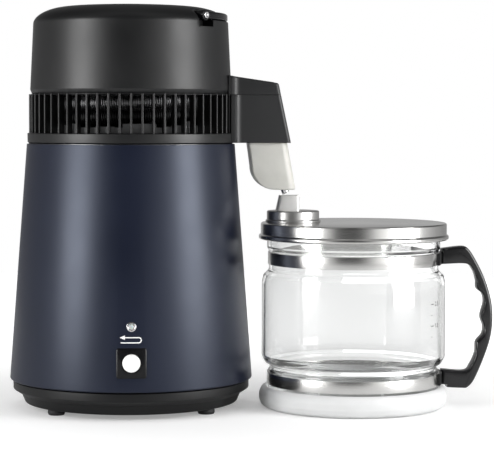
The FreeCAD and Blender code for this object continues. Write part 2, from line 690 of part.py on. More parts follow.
def outer_shell():
    hem = "shell_foot_radius - shell_hem_width"
    lip = "shell_top_radius - shell_lip_width"
    body = lathe(
        "outer_shell",
        [
            (hem, "shell_bottom"),
            ("shell_foot_radius", "shell_bottom"),
            ("shell_top_radius", "shell_top"),
            (lip, "shell_top"),
            (lip, "shell_top - shell_wall"),
            ("shell_top_radius - shell_wall", "shell_top - shell_wall"),
            ("shell_foot_radius - shell_wall", "shell_bottom + shell_wall"),
            (hem, "shell_bottom + shell_wall"),
        ],
        **on_machine,
    )
    half = "(sleeve_side / 2 + hole_gap)"
    window = rectangle(f"-{half}", half, f"button_height - {half}", f"button_height + {half}")
    extrude(body, sketch(body, "XZ", window), "shell_foot_radius * 2", cut=True)
    lamp = circle_sketch(body, "XZ", "0", "lamp_height", "bezel_barrel + hole_gap")
    extrude(body, lamp, "shell_foot_radius * 2", cut=True)
    across = "(inlet_body_width / 2 + hole_gap)"
    up = "(inlet_body_height / 2 + hole_gap)"
    window = rectangle(f"-{across}", across, f"inlet_height - {up}", f"inlet_height + {up}")
    extrude(body, sketch(body, "XZ", window), "shell_foot_radius * 2", cut=True, against=True)
    link = circle_sketch(body, "XZ", "0", "link_height", "socket_body_radius + hole_gap")
    extrude(body, link, "shell_foot_radius * 2", cut=True, against=True)
    shank = "screw_radius + screw_clearance"
    hole = circle_sketch(body, "XY", "pan_screw_ring", "0", shank, lift="foot_height")
    around(body, extrude(body, hole, "pan_height + shell_wall * 2", cut=True), "4")
    node(body, "outer_shell")


def boiling_tank():
    outer = "tank_radius + tank_wall"
    node(
        lathe(
            "boiling_tank",
            [
                ("0", "plate_top"),
                ("tank_radius - tank_corner", "plate_top"),
                (outer, "tank_floor + tank_corner"),
                (outer, "shell_top"),
                ("tank_flange_radius", "shell_top"),
                ("tank_flange_radius", "tank_top"),
                ("tank_radius", "tank_top"),
                ("tank_radius", "tank_floor + tank_corner"),
                ("tank_radius - tank_corner", "tank_floor"),
                ("0", "tank_floor"),
            ],
            **on_machine,
        ),
        "boiling_tank",
    )


def heater():
    node(cylinder("heater_radius", "heater_thickness", x="machine_x", z="plate_under"), "heater_plate")
    ring = doc.addObject("Part::Torus", "ring")
    bind(ring, "Radius1", "element_radius")
    bind(ring, "Radius2", "element_tube")
    legs = [
        cylinder("element_leg_radius", "element_leg", z="-element_leg", **polar("element_radius", angle))
        for angle in (80, 100)
    ]
    node(fuse([ring, *legs], x="machine_x", z="plate_under - element_tube"), "heating_element")
    inner = "tank_radius + tank_wall + wrap_gap"
    low = "tank_floor + wrap_lift"
    outline = rectangle(inner, f"{inner} + wrap_thickness", low, f"{low} + wrap_height")
    node(lathe("insulation_wrap", outline, **on_machine), "insulation_wrap")
    thermostat = cylinder(
        "thermostat_radius", "thermostat_height", x="machine_x + thermostat_x", y="thermostat_y",
        z="plate_under - thermostat_height",
    )
    node(thermostat, "boil_thermostat")
    fuse_body = cylinder(
        "fuse_radius", "fuse_length", x="machine_x + fuse_x", y="-fuse_length / 2",
        z="plate_under - fuse_radius", roll=-90,
    )
    node(fuse_body, "thermal_fuse")
    terminals = block(
        "terminal_length", "terminal_width", "terminal_height",
        x="machine_x - terminal_length / 2", y="terminal_y - terminal_width / 2", z="pan_floor",
    )
    node(terminals, "terminal_block")


# ---------- controls on the front ----------


def reset_controls():
    plate = new_body("button_plate")
    face = sketch(plate, "XZ", square("plate_side / 2"), lift="plate_proud")
    extrude(plate, face, "plate_proud", against=True)
    extrude(plate, sketch(plate, "XZ", square("sleeve_side / 2")), "sleeve_depth", against=True)
    inside = "(sleeve_side / 2 - sleeve_wall)"
    face_back = "(plate_face - plate_proud)"
    hollow = sketch(plate, "XZ", square(inside), lift=f"-{face_back}")
    extrude(plate, hollow, f"sleeve_depth - {face_back}", cut=True, against=True)
    hole = circle_sketch(plate, "XZ", "0", "0", "button_radius + button_gap", lift="plate_proud")
    extrude(plate, hole, "plate_face", cut=True, against=True)
    place(plate, **front_panel("button_height"))
    node(plate, "button_plate")

    flange_front = f"({face_back} + button_gap)"
    flange_back = f"({flange_front} + button_flange_thickness)"
    front = "(plate_proud + button_proud)"
    knob = cylinder("button_radius", f"{front} + {flange_back}", y=f"-{front}", roll=-90)
    flange = cylinder("button_radius + button_flange", "button_flange_thickness", y=flange_front, roll=-90)
    stem = cylinder("button_stem_radius", "button_stem_length", y=flange_back, roll=-90)
    node(fuse([knob, flange, stem], **front_panel("button_height")), "reset_button")

    switch_front = "(sleeve_depth - switch_depth)"
    side = f"({inside} - fit_gap)"
    case = block(f"{side} * 2", "switch_depth", f"{side} * 2", x=f"-{side}", y=switch_front, z=f"-{side}")
    well = cylinder("button_stem_radius + button_gap", "switch_depth / 2", y=switch_front, roll=-90)
    node(cut(case, [well], **front_panel("button_height")), "reset_switch")

    spring = new_body("button_spring")
    length = f"({switch_front} - {flange_back} - spring_wire * 2)"
    wire = circle_sketch(spring, "XY", "spring_radius", f"{flange_back} + spring_wire", "spring_wire")
    coil = spring.newObject("PartDesign::AdditiveHelix", "coil")
    coil.Profile = wire
    coil.ReferenceAxis = (wire, ["V_Axis"])
    coil.Mode = 1
    bind(coil, "Height", length)
    bind(coil, "Turns", "spring_turns")
    bind(coil, "Pitch", f"{length} / spring_turns")
    place(spring, **front_panel("button_height"))
    node(spring, "button_spring")


def lamp():
    """Lamp parts, turned about the panel's own Y axis."""
    lip = "(bezel_proud * 0.6)"
    pieces = {
        "indicator_bezel": [
            ("lamp_radius + fit_gap", "-bezel_proud"),
            ("bezel_radius - bezel_proud", "-bezel_proud"),
            ("bezel_radius", f"-{lip}"),
            ("bezel_radius", "0"),
            ("bezel_barrel", "0"),
            ("bezel_barrel", "lamp_length"),
            ("lamp_radius + fit_gap", "lamp_length"),
        ],
        "indicator_lens": [
            ("0", "-bezel_proud * 1.6"),
            ("lamp_radius * 0.6", "-bezel_proud * 1.3"),
            ("lamp_radius", f"-{lip}"),
            ("lamp_radius", "lamp_length"),
            ("0", "lamp_length"),
        ],
        "indicator_nut": rectangle(
            "bezel_barrel + fit_gap", "nut_radius", "nut_seat", "nut_seat + nut_thickness"
        ),
    }
    for label, outline in pieces.items():
        body = new_body(label)
        revolve(body, sketch(body, "XY", outline))
        place(body, **front_panel("lamp_height"))
        node(body, label)


# ---------- sockets at the back ----------


def power_inlet():
    flange = block(
        "inlet_flange_width", "inlet_flange_proud", "inlet_flange_height",
        x="-inlet_flange_width / 2", z="-inlet_flange_height / 2",
    )
    case = block(
        "inlet_body_width", "inlet_body_depth", "inlet_body_height",
        x="-inlet_body_width / 2", y="-inlet_body_depth", z="-inlet_body_height / 2",
    )
    hollow = block(
        "inlet_cavity_width", "inlet_cavity_depth + inlet_flange_proud", "inlet_cavity_height",
        x="-inlet_cavity_width / 2", y="-inlet_cavity_depth", z="-inlet_cavity_height / 2",
    )
    node(cut(fuse([flange, case]), [hollow], **back_panel("inlet_height")), "power_inlet")
    blades = []
    for step in (-1, 0, 1):
        left = f"{step} * blade_spacing - blade_thickness / 2"
        for length, start in (
            ("blade_length", "-inlet_cavity_depth"),
            ("blade_tab", "-inlet_body_depth - blade_tab"),
        ):
            blades.append(
                block("blade_thickness", length, "blade_width", x=left, y=start, z="-blade_width / 2")
            )
    node(group(blades, **back_panel("inlet_height")), "inlet_pins")


def round_socket(label, depth, **where):
    flange = cylinder("socket_flange_radius", "socket_flange_proud", roll=-90)
    barrel = cylinder("socket_body_radius", depth, y=f"-({depth})", roll=-90)
    bore_length = f"({depth} + socket_flange_proud - socket_floor)"
    bore = cylinder("socket_bore", bore_length, y=f"socket_floor - {depth}", roll=-90)
    pin_length = f"{bore_length} - socket_flange_proud * 2"
    pin = cylinder("socket_pin", pin_length, y=f"socket_floor - {depth}", roll=-90)
    node(fuse([cut(fuse([flange, barrel]), [bore]), pin], **where), label)


# ---------- head ----------


def grille_housing():
    ledge_under = "(ring_top - ring_thickness)"
    body = lathe(
        "grille_housing",
        [
            ("skirt_radius - skirt_wall", "head_bottom"),
            ("skirt_radius", "head_bottom"),
            ("skirt_radius", "bar_foot"),
            ("bar_outer", "bar_foot"),
            ("bar_outer", "seam"),
            ("ring_outer", "seam"),
            ("ring_outer", "ring_top"),
            ("flange_inner", "ring_top"),
            ("flange_inner", ledge_under),
            ("bar_inner", f"{ledge_under} - (bar_inner - flange_inner)"),
            ("bar_inner", "lid_plate_top + flange_thickness"),
            ("flange_inner", "lid_plate_top + flange_thickness"),
            ("flange_inner", "lid_plate_top"),
            ("skirt_radius - skirt_wall", "lid_plate_top"),
        ],
        **on_machine,
    )
    half = "slot_width / 2"
    slot = rectangle("bar_inner - overshoot", "bar_outer + overshoot", f"-{half}", half)
    cutter = extrude(body, sketch(body, "XY", slot, lift="bar_foot"), "bar_height", cut=True)
    around(body, cutter, "bar_count")
    spout = [
        ("spout_root", "head_bottom"),
        ("spout_foot_reach", "head_bottom"),
        (spout_edge("seam"), "seam"),
        ("bar_inner + spout_wall", "seam"),
        ("bar_inner + spout_wall", "bar_foot"),
        ("spout_root", "bar_foot"),
    ]
    extrude(body, sketch(body, "XZ", spout), "spout_width", middle=True)
    hollow = [
        ("spout_root + spout_wall * 2", "head_bottom"),
        ("spout_foot_reach - spout_wall", "head_bottom"),
        (spout_edge("seam") + " - spout_wall", "seam"),
        ("spout_root + spout_wall", "seam"),
    ]
    extrude(body, sketch(body, "XZ", hollow), "spout_width - spout_wall * 2", cut=True, middle=True)
    reach = "(pipe_tube + spout_wall)"
    window = rectangle(
        "bar_inner - overshoot", "spout_root + spout_wall * 3", "bar_foot", f"coil_low + {reach}"
    )
    extrude(body, sketch(body, "XZ", window), f"{reach} * 2", cut=True, middle=True)
    hole = circle_sketch(
        body, "XY", "head_screw_ring * cos(45)", "head_screw_ring * sin(45)",
        "head_screw_radius + screw_clearance", lift=ledge_under,
    )
    around(body, extrude(body, hole, "ring_height", cut=True), "4")
    recess = circle_sketch(
        body, "XY", "head_screw_ring * cos(45)", "head_screw_ring * sin(45)",
        "head_screw_head + head_clearance", lift=f"{ledge_under} - head_screw_recess",
    )
    around(body, extrude(body, recess, "head_screw_recess", cut=True), "4")
    node(body, "grille_housing")


def tank_closure():
    outline = rectangle("closure_radius - seal_width", "closure_radius", "tank_top", "seal_top")
    node(lathe("tank_seal", outline, **on_machine), "tank_seal")
    disc = cylinder("closure_radius", "lid_plate_thickness")
    hole = cylinder("pipe_tube + screw_clearance", "lid_plate_thickness", x="riser_radius")
    node(cut(disc, [hole], x="machine_x", z="seal_top"), "condenser_base")


def condenser():
    coil = new_body("condenser_coil")
    section = circle_sketch(coil, "XZ", "coil_radius", "coil_low", "coil_tube")
    helix = coil.newObject("PartDesign::AdditiveHelix", "helix")
    helix.Profile = section
    helix.ReferenceAxis = (section, ["V_Axis"])
    helix.Mode = 1
    bind(helix, "Height", "coil_pitch * coil_turns")
    bind(helix, "Turns", "coil_turns")
    bind(helix, "Pitch", "coil_pitch")
    place(coil, **on_machine)
    node(coil, "condenser_coil")

    # The fins are thin discs threaded on the coil, so their places come from the helix's own formula.
    radius = size_of("coil_radius")
    pitch = size_of("coil_pitch")
    step = size_of("fin_step")
    total = int(360 * size_of("coil_turns") / step)
    discs = []
    for number in range(2, total - 1):
        angle = math.radians(number * step)
        rise = pitch * angle / (2 * math.pi)
        middle = FreeCAD.Vector(radius * math.cos(angle), radius * math.sin(angle), rise)
        along = FreeCAD.Vector(-math.sin(angle), math.cos(angle), pitch / (2 * math.pi * radius))
        disc = Part.makeCylinder(size_of("fin_radius"), size_of("fin_thickness"), middle, along)
        hole = Part.makeCylinder(size_of("coil_tube + fin_gap"), size_of("fin_thickness"), middle, along)
        discs.append(disc.cut(hole))
    fins = doc.addObject("Part::Feature", "fins")
    fins.Shape = Part.makeCompound(discs)
    place(fins, x="machine_x", z="coil_low")
    node(fins, "condenser_fins")

    # Steam goes up inside the coil to its upper end.
    upright = cylinder("pipe_tube", "coil_high - seal_top", x="riser_radius", z="seal_top")
    elbow = doc.addObject("Part::Sphere", "elbow")
    bind(elbow, "Radius", "pipe_tube")
    place(elbow, x="riser_radius", z="coil_high")
    branch_length = "coil_radius - coil_tube - coil_joint_gap - riser_radius"
    branch = cylinder("pipe_tube", branch_length, x="riser_radius", z="coil_high", pitch=90)
    node(fuse([upright, elbow, branch], **on_machine), "steam_riser")

    # Water leaves the coil's lower end and drops into the cup.
    start = "(coil_radius + coil_tube + coil_joint_gap)"
    end = "(head_bottom - pipe_end_drop)"
    solids = []
    for radius_name in ("pipe_tube", "pipe_bore"):
        level = cylinder(radius_name, f"pipe_drop_x - {start}", x=start, z="coil_low", pitch=90)
        corner = doc.addObject("Part::Sphere", "elbow")
        bind(corner, "Radius", radius_name)
        place(corner, x="pipe_drop_x", z="coil_low")
        drop = cylinder(radius_name, f"coil_low - {end}", x="pipe_drop_x", z=end)
        solids.append(fuse([level, corner, drop]))
    node(cut(solids[0], [solids[1]], **on_machine), "outlet_pipe")


def fan():
    hub_plate = cylinder("motor_radius + bracket_margin", "bracket_thickness")
    arms = [
        block("ring_outer * 2", "bracket_arm", "bracket_thickness",
              x=f"-ring_outer * cos({angle}) + bracket_arm / 2 * sin({angle})",
              y=f"-ring_outer * sin({angle}) - bracket_arm / 2 * cos({angle})", yaw=angle)
        for angle in (45, 135)
    ]
    trimmed = doc.addObject("Part::Common", "trimmed")
    trimmed.Base = fuse([hub_plate, *arms])
    trimmed.Tool = cylinder("ring_outer - fit_gap * 4", "bracket_thickness")
    holes = [cylinder("bracket_hole", "bracket_thickness")]
    motor_holes = [cylinder("shaft_radius + shaft_clearance", "shaft_reach + shaft_end_gap")]
    motor_screws = []
    head_screws = []
    for quarter in range(4):
        motor_place = polar("motor_screw_ring", 90 * quarter)
        hole = "motor_screw_radius + screw_clearance"
        holes.append(cylinder(hole, "bracket_thickness", **motor_place))
        motor_holes.append(cylinder(hole, "motor_screw_length", **motor_place))
        motor_screws.append(
            screw("motor_screw_radius * 1.8", "bracket_thickness", "motor_screw_radius", "motor_screw_length",
                  z="ring_top", **motor_place)
        )
        head_place = polar("head_screw_ring", 90 * quarter + 45)
        holes.append(cylinder("head_screw_radius + screw_clearance", "bracket_thickness", **head_place))
        head_screws.append(
            screw("head_screw_head", "bracket_thickness", "head_screw_radius", "head_screw_length",
                  z="ring_top - ring_thickness", **head_place)
        )
    node(cut(trimmed, holes, x="machine_x", z="ring_top"), "motor_bracket")
    motor = cut(cylinder("motor_radius", "motor_height"), motor_holes, x="machine_x", z="bracket_top")
    node(motor, "fan_motor")
    node(group(motor_screws, **on_machine), "motor_screws")
    node(group(head_screws, **on_machine), "head_screws")

    hub = cylinder("rotor_hub_radius", "rotor_hub_height", z="-rotor_hub_height / 2")
    blades = []
    for number in range(int(size_of("rotor_blades"))):
        angle = f"(360 / rotor_blades * {number})"
        blade = block("rotor_radius", "rotor_blade_width", "rotor_blade_thickness",
                      y="-rotor_blade_width / 2", z="-rotor_blade_thickness / 2")
        tilted = group([blade], roll="rotor_blade_pitch")
        blades.append(group([tilted], yaw=angle))
    bore = cylinder("shaft_radius + shaft_clearance", "rotor_hub_height * 2", z="-rotor_hub_height")
    node(cut(fuse([hub, *blades]), [bore], x="machine_x", z="rotor_middle"), "fan_rotor")
    low = "(rotor_middle - rotor_hub_height / 2 - shaft_stub)"
    shaft = cylinder("shaft_radius", f"bracket_top + shaft_reach - {low}", x="machine_x", z=low)
    node(shaft, "fan_shaft")


def head_cap():
    # The brow rounds over like a quarter ellipse, a little fuller at the side.
    outline = [
        ("cap_foot_radius - cap_wall", "seam"),
        ("cap_foot_radius", "seam"),
        ("cap_brow_radius", "cap_brow"),
    ]
    for step in range(1, 7):
        angle = f"(90 / 7 * {step})"
        across = f"cap_crown_radius + cap_round_width * pow(cos{angle}; 1.05)"
        outline.append((across, f"cap_brow + (cap_shoulder - cap_brow) * pow(sin{angle}; 1.05)"))
    outline += [
        ("cap_crown_radius", "cap_shoulder"),
        ("0", "cap_top"),
        ("0", "cap_top - cap_wall"),
        ("cap_crown_radius", "cap_shoulder - cap_wall"),
        ("rebate_radius - cap_rebate_wall", "cap_shoulder - cap_wall * 2.6"),
        ("rebate_radius - cap_rebate_wall", "cap_inside"),
        ("cap_brow_radius - cap_wall", "cap_inside"),
    ]
    body = lathe("cap_moulding", outline)
    ridge = "(head_bottom + spout_top_rise)"
    root = "(cap_foot_radius - cap_wall)"
    hood = [(root, "seam"), (spout_edge("seam"), "seam"), ("spout_top_reach", "spout_corner"), (root, ridge)]
    extrude(body, sketch(body, "XZ", hood), "spout_width", middle=True)
    hollow = [
        ("cap_foot_radius + spout_wall", "seam"),
        (spout_edge("seam") + " - spout_wall", "seam"),
        ("spout_top_reach - spout_wall", "spout_corner - spout_wall"),
        ("cap_foot_radius + spout_wall", f"{ridge} - spout_wall * 1.5"),
    ]
    extrude(body, sketch(body, "XZ", hollow), "spout_width - spout_wall * 2", cut=True, middle=True)
    boss_circle = {
        "across": "head_screw_ring * cos(45)",
        "up": "head_screw_ring * sin(45)",
    }
    wall = "head_screw_radius + boss_wall"
    boss = circle_sketch(body, "XY", radius=wall, lift="bracket_top", **boss_circle)
    around(body, extrude(body, boss, "cap_inside - bracket_top"), "4")
    hole = "head_screw_radius + screw_clearance"
    bore = circle_sketch(body, "XY", radius=hole, lift="bracket_top", **boss_circle)
    around(body, extrude(body, bore, "head_screw_length", cut=True), "4")
    rebate = rectangle("rebate_radius", "cap_foot_radius + overshoot", "rebate_floor", "cap_top + overshoot")
    swing = sketch(body, "XZ", rebate, turn="bail_angle + 90")
    revolve(body, swing, angle="180", cut=True, middle=True)

    pockets = []
    for end in (0, 180):
        turn = f"(bail_angle + {end})"
        across = {
            "x": f"rebate_radius * cos({turn}) + bail_pocket_half * sin({turn})",
            "y": f"rebate_radius * sin({turn}) - bail_pocket_half * cos({turn})",
        }
        pockets.append(
            block("bail_width * 2", "bail_pocket_half * 2", "cap_top - bail_axis + bail_pocket_depth",
                  z="bail_axis - bail_pocket_depth", yaw=turn, **across)
        )
        pockets.append(
            cylinder("pin_radius + pin_clearance", "bail_radius", z="bail_axis", yaw=turn, pitch=90)
        )
    socket_hole = cylinder(
        "socket_body_radius + fit_gap", "cap_wall * 6",
        y=cap_radius("head_socket_height") + " - cap_wall * 4", z="head_socket_height", roll=-90,
    )
    node(cut(body, [*pockets, socket_hole], **on_machine), "head_cap")


def cap_radius(height):
    """Outside of the cap's side at a height."""
    return f"(cap_foot_radius - (({height}) - seam) * cap_taper / cap_side_height)"


def carry_handle():
    half = "bail_thickness / 2"
    inner = "bail_radius - bail_width / 2"
    outer = "bail_radius + bail_width / 2"
    outline = [
        (f"{inner} + bail_bevel", f"-{half}"),
        (f"{outer} - bail_bevel", f"-{half}"),
        (outer, f"bail_bevel - {half}"),
        (outer, f"{half} - bail_bevel"),
        (f"{outer} - bail_bevel", half),
        (f"{inner} + bail_bevel", half),
        (inner, f"{half} - bail_bevel"),
        (inner, f"bail_bevel - {half}"),
    ]
    bar = new_body("bail_bar")
    revolve(bar, sketch(bar, "XZ", outline, turn="90"), angle="180", middle=True)
    lugs = [
        cylinder("bail_lug_radius", "bail_width", x=f"{side} * bail_radius - bail_width / 2", pitch=90)
        for side in (-1, 1)
    ]
    bore = cylinder("pin_radius + pin_clearance", "bail_radius * 3", x="-bail_radius * 1.5", pitch=90)
    handle = cut(fuse([bar, *lugs]), [bore], x="machine_x", z="bail_axis", yaw="bail_angle")
    node(handle, "carry_handle")
    pins = []
    seat = "(bail_radius + bail_width / 2 + fit_gap)"
    for end in (0, 180):
        head = cylinder("pin_head_radius", "pin_head_height", x=seat, pitch=90)
        shank = cylinder("pin_radius", "pin_length", x=f"{seat} - pin_length", pitch=90)
        pins.append(fuse([head, shank], z="bail_axis", yaw=f"bail_angle + {end}"))
    node(group(pins, **on_machine), "handle_pins")


# ---------- spout parts ----------


def cup_outline(inset):
    """Side view of the cup; inset moves the whole outline inwards."""
    bend = f"(cup_bend_radius - ({inset}))"
    top = "(head_bottom + cup_insert)"
    outline = [(f"cup_left + ({inset})", top)]
    for step in range(7):
        angle = 15 * step
        outline.append((f"cup_bend_x - {bend} * cos({angle})", f"cup_bend_z - {bend} * sin({angle})"))
    lip = f"(cup_low + cup_lip_rise + ({inset}))"
    outline.append((f"cup_lip_reach - ({inset}) * 1.2", lip))
    outline.append((f"cup_right - ({inset})", "head_bottom"))
    outline.append((f"{spout_edge(top)} - spout_wall - cup_gap - ({inset})", top))
    return outline


def nozzle():
    width = "(cup_half_width * 2)"
    cup = new_body("nozzle_cup")
    extrude(cup, sketch(cup, "XZ", cup_outline("0")), width, middle=True)
    extrude(cup, sketch(cup, "XZ", cup_outline("cup_wall")), f"{width} - cup_wall * 2", cut=True, middle=True)
    hole = circle_sketch(cup, "XY", "tip_x", "0", "tip_radius + fit_gap", lift="tip_low")
    extrude(cup, hole, "tip_length + cup_wall", cut=True)
    place(cup, **on_machine)
    node(cup, "nozzle_cup")
    tube = cylinder("tip_radius", "tip_length")
    bore = cylinder("tip_bore", "tip_length")
    node(cut(tube, [bore], x="machine_x + tip_x", z="tip_low"), "nozzle_tip")
    bag = block(
        "cup_right - cup_left - filter_margin * 2", "filter_half_width * 2", "filter_height",
        x="machine_x + cup_left + filter_margin", y="-filter_half_width", z="cup_bend_z - filter_sink",
    )
    node(bag, "charcoal_filter")


# ---------- jug ----------


def jug():
    inner = "(glass_foot_radius + pad_gap)"
    pad = [
        ("0", "0"),
        ("pad_radius - pad_edge", "0"),
        ("pad_radius", "pad_edge"),
        ("pad_radius", "pad_height - pad_edge"),
        ("pad_radius - pad_edge * 0.3", "pad_height - pad_edge * 0.3"),
        ("pad_radius - pad_edge", "pad_height"),
        (inner, "pad_height"),
        (inner, "pad_floor"),
        ("0", "pad_floor"),
    ]
    node(lathe("jug_base_pad", pad, **on_jug), "jug_base_pad")

    outside = [
        ("glass_foot_radius", "pad_floor"),
        ("glass_foot_radius", "glass_foot"),
        ("glass_waist_radius", "glass_waist"),
        ("glass_waist_radius + glass_waist_inset * 0.6", "glass_waist + glass_belly_rise * 0.4"),
        ("glass_body_radius", "glass_belly"),
        ("glass_body_radius", "glass_shoulder"),
        ("glass_body_radius - glass_waist_inset * 0.3", "glass_shoulder + glass_shoulder_fall * 0.6"),
        ("glass_neck_radius", "glass_neck"),
        ("glass_neck_radius", "glass_flare"),
        ("glass_rim_radius", "glass_flare + glass_wall * 1.5"),
        ("glass_rim_radius", "glass_rim"),
    ]
    inside = [(f"{radius} - glass_wall", height) for radius, height in reversed(outside[1:])]
    inside.append(("glass_foot_radius - glass_wall", "pad_floor + glass_wall"))
    outline = [("0", "pad_floor"), *outside, *inside, ("0", "pad_floor + glass_wall")]
    node(lathe("jug_glass", outline, **on_jug), "jug_glass")

    brackets = []
    screws = []
    handle_cutters = []
    for label, radius, low, height in (
        ("jug_lower_band", "glass_foot_radius", "lower_band_lift", "lower_band_height"),
        ("jug_upper_band", "glass_neck_radius", "upper_band_lift", "upper_band_height"),
    ):
        band_in = f"({radius} + band_gap)"
        band_out = f"({band_in} + band_thickness)"
        node(lathe(label, rectangle(band_in, band_out, low, f"{low} + {height}"), **on_jug), label)
        plate_in = f"({band_out} + bracket_gap)"
        plate_out = f"({plate_in} + bracket_plate)"
        plate = new_body("bracket")
        profile = sketch(plate, "XZ", rectangle(plate_in, plate_out, low, f"{low} + {height}"))
        revolve(plate, profile, angle="bracket_spread", middle=True)
        middle = f"({low} + {height} / 2)"
        tongue = block("bracket_plate / 2 + tongue_length", "tongue_thickness", "tongue_height",
                       x=f"{plate_out} - bracket_plate / 2", y="-tongue_thickness / 2",
                       z=f"{middle} - tongue_height / 2")
        hole = {"x": f"{plate_out} + handle_screw_inset", "z": middle}
        bore_radius = "handle_screw_radius + screw_clearance"
        bore = cylinder(bore_radius, "handle_width", y="-handle_width / 2", roll=-90, **hole)
        brackets.append(cut(fuse([plate, tongue]), [bore]))
        seat = "(handle_width / 2 - bracket_thickness - fit_gap)"
        head = cylinder("handle_screw_head", "bracket_thickness", y=seat, roll=-90, **hole)
        shank_end = f"{seat} - handle_screw_length"
        shank = cylinder("handle_screw_radius", "handle_screw_length", y=shank_end, roll=-90, **hole)
        screws.append(fuse([head, shank]))
        handle_cutters.append(
            block(
                "tongue_length + fit_gap * 5",
                "tongue_thickness + fit_gap * 2",
                "tongue_height + fit_gap * 2",
                x=plate_out, y="-tongue_thickness / 2 - fit_gap", z=f"{middle} - tongue_height / 2 - fit_gap",
            )
        )
        handle_cutters.append(
            cylinder(bore_radius, "handle_screw_length + screw_end_gap",
                     y=f"{shank_end} - screw_end_gap", roll=-90, **hole)
        )
        recess = cylinder("handle_screw_head + fit_gap", "handle_width", y=seat, roll=-90, **hole)
        handle_cutters.append(recess)
    node(group(brackets, **on_jug), "band_brackets")
    node(group(screws, **on_jug), "band_screws")
    jug_handle(handle_cutters)


def jug_handle(cutters):
    lower_root = "(glass_foot_radius + band_gap + band_thickness + bracket_gap + bracket_plate + handle_gap)"
    upper_root = "(glass_neck_radius + band_gap + band_thickness + bracket_gap + bracket_plate + handle_gap)"
    lower_middle = "(lower_band_lift + lower_band_height / 2)"
    upper_middle = "(upper_band_lift + upper_band_height / 2)"
    # Each point: share of the way in from the handle's outermost line, share of the way up between the bands.
    outside = [(0.667, 1.097), (0.531, 1.08), (0.381, 0.995), (0.176, 0.83), (0.04, 0.655), (0, 0.495)]
    waves = [(0.04, 0.332), (0.176, 0.159), (0.381, -0.03), (0.515, -0.09), (0.617, -0.097)]
    finger_side = [
        (0.581, 0.05), (0.447, 0.103), (0.344, 0.197), (0.328, 0.291), (0.2, 0.358), (0.181, 0.427),
        (0.24, 0.508), (0.174, 0.621), (0.207, 0.695), (0.328, 0.743), (0.344, 0.816), (0.412, 0.897),
        (0.566, 0.951),
    ]

    def height(share):
        return f"{lower_middle} + ({upper_middle} - {lower_middle}) * ({share})"

    def corners(points):
        return [(f"handle_reach - handle_overhang * {inward}", height(up)) for inward, up in points]

    outline = [(upper_root, height(1.078)), *corners(outside + waves)]
    outline += [(lower_root, height(-0.088)), (lower_root, height(0.062))]
    outline += [*corners(finger_side), (upper_root, height(0.947))]
    cutters.append(cylinder("pad_radius + pad_gap", "pad_height + pad_gap"))
    grip = new_body("grip")
    extrude(grip, sketch(grip, "XZ", outline), "handle_width", middle=True)
    node(cut(grip, cutters, **on_jug), "jug_handle")


def jug_lid():
    bead_top = "(lid_top - lid_skirt + lid_bead_height)"
    bead_low = "(lid_top - lid_skirt)"
    inner = "(lid_radius - lid_wall)"
    lid = lathe(
        "lid_pressing",
        [
            ("0", "lid_top"),
            ("lid_radius - lid_wall", "lid_top"),
            ("lid_radius", "lid_top - lid_wall"),
            ("lid_radius", bead_top),
            ("lid_bead_radius", f"{bead_top} - lid_bead_height * 0.3"),
            ("lid_bead_radius", f"{bead_low} + lid_bead_height * 0.2"),
            ("lid_radius", bead_low),
            (inner, f"{bead_low} + lid_bead_height * 0.2"),
            (inner, "lid_top - lid_wall"),
            ("0", "lid_top - lid_wall"),
        ],
    )
    local = {"x": "inlet_reach - jug_offset - (funnel_left_top - funnel_right) / 2", "y": "jug_forward"}
    hole = cylinder("lid_hole", "lid_wall * 4", z="lid_top - lid_wall * 2", **local)
    node(cut(lid, [hole], **on_jug), "jug_lid")
    seal = rectangle(
        "glass_rim_radius - lid_seal_inside", "glass_rim_radius + lid_seal_outside",
        "glass_rim", "lid_top - lid_wall",
    )
    node(lathe("lid_seal", seal, **on_jug), "lid_seal")

    at_inlet = {"x": "machine_x + inlet_reach"}
    cap = lathe(
        "inlet_pressing",
        [
            ("inlet_cap_radius - lid_wall", "lid_top"),
            ("inlet_cap_radius + inlet_bead", "lid_top"),
            ("inlet_cap_radius + inlet_bead", "lid_top + inlet_bead_height * 0.7"),
            ("inlet_cap_radius", "lid_top + inlet_bead_height"),
            ("inlet_cap_radius", "inlet_cap_top - lid_wall"),
            ("inlet_cap_radius - lid_wall", "inlet_cap_top"),
            ("0", "inlet_cap_top"),
            ("0", "inlet_cap_top - lid_wall"),
            ("inlet_cap_radius - lid_wall", "inlet_cap_top - lid_wall"),
        ],
    )
    slot = block(
        "funnel_left_foot + funnel_right - funnel_wall * 2", "funnel_width - funnel_wall * 2", "lid_wall * 4",
        x="funnel_wall - funnel_left_foot", y="funnel_wall - funnel_width / 2",
        z="inlet_cap_top - lid_wall * 2",
    )
    node(cut(cap, [slot], **at_inlet), "inlet_cap")

    funnel = new_body("inlet_funnel")
    for inset, width, cutting in (
        ("0", "funnel_width", False),
        ("funnel_wall", "funnel_width - funnel_wall * 2", True),
    ):
        outline = [
            (f"{inset} - funnel_left_foot", "inlet_cap_top"),
            (f"funnel_right - {inset}", "inlet_cap_top"),
            (f"funnel_right - {inset}", "funnel_top"),
            (f"{inset} - funnel_left_top", "funnel_top"),
        ]
        extrude(funnel, sketch(funnel, "XZ", outline), width, cut=cutting, middle=True)
    place(funnel, **at_inlet)
    node(funnel, "inlet_funnel")


base_pan()
feet_and_screws()
outer_shell()
boiling_tank()
heater()
reset_controls()
lamp()
power_inlet()
round_socket("fan_link_socket", "link_depth", **back_panel("link_height"))
grille_housing()
tank_closure()
condenser()
fan()
head_cap()
round_socket(
    "head_power_inlet", "head_socket_depth",
    x="machine_x", y=cap_radius("head_socket_height - socket_flange_radius"), z="head_socket_height",
)
carry_handle()
nozzle()
jug()
jug_lid()
doc.recompute()

# ---------- check every object, then write each sub-part ----------

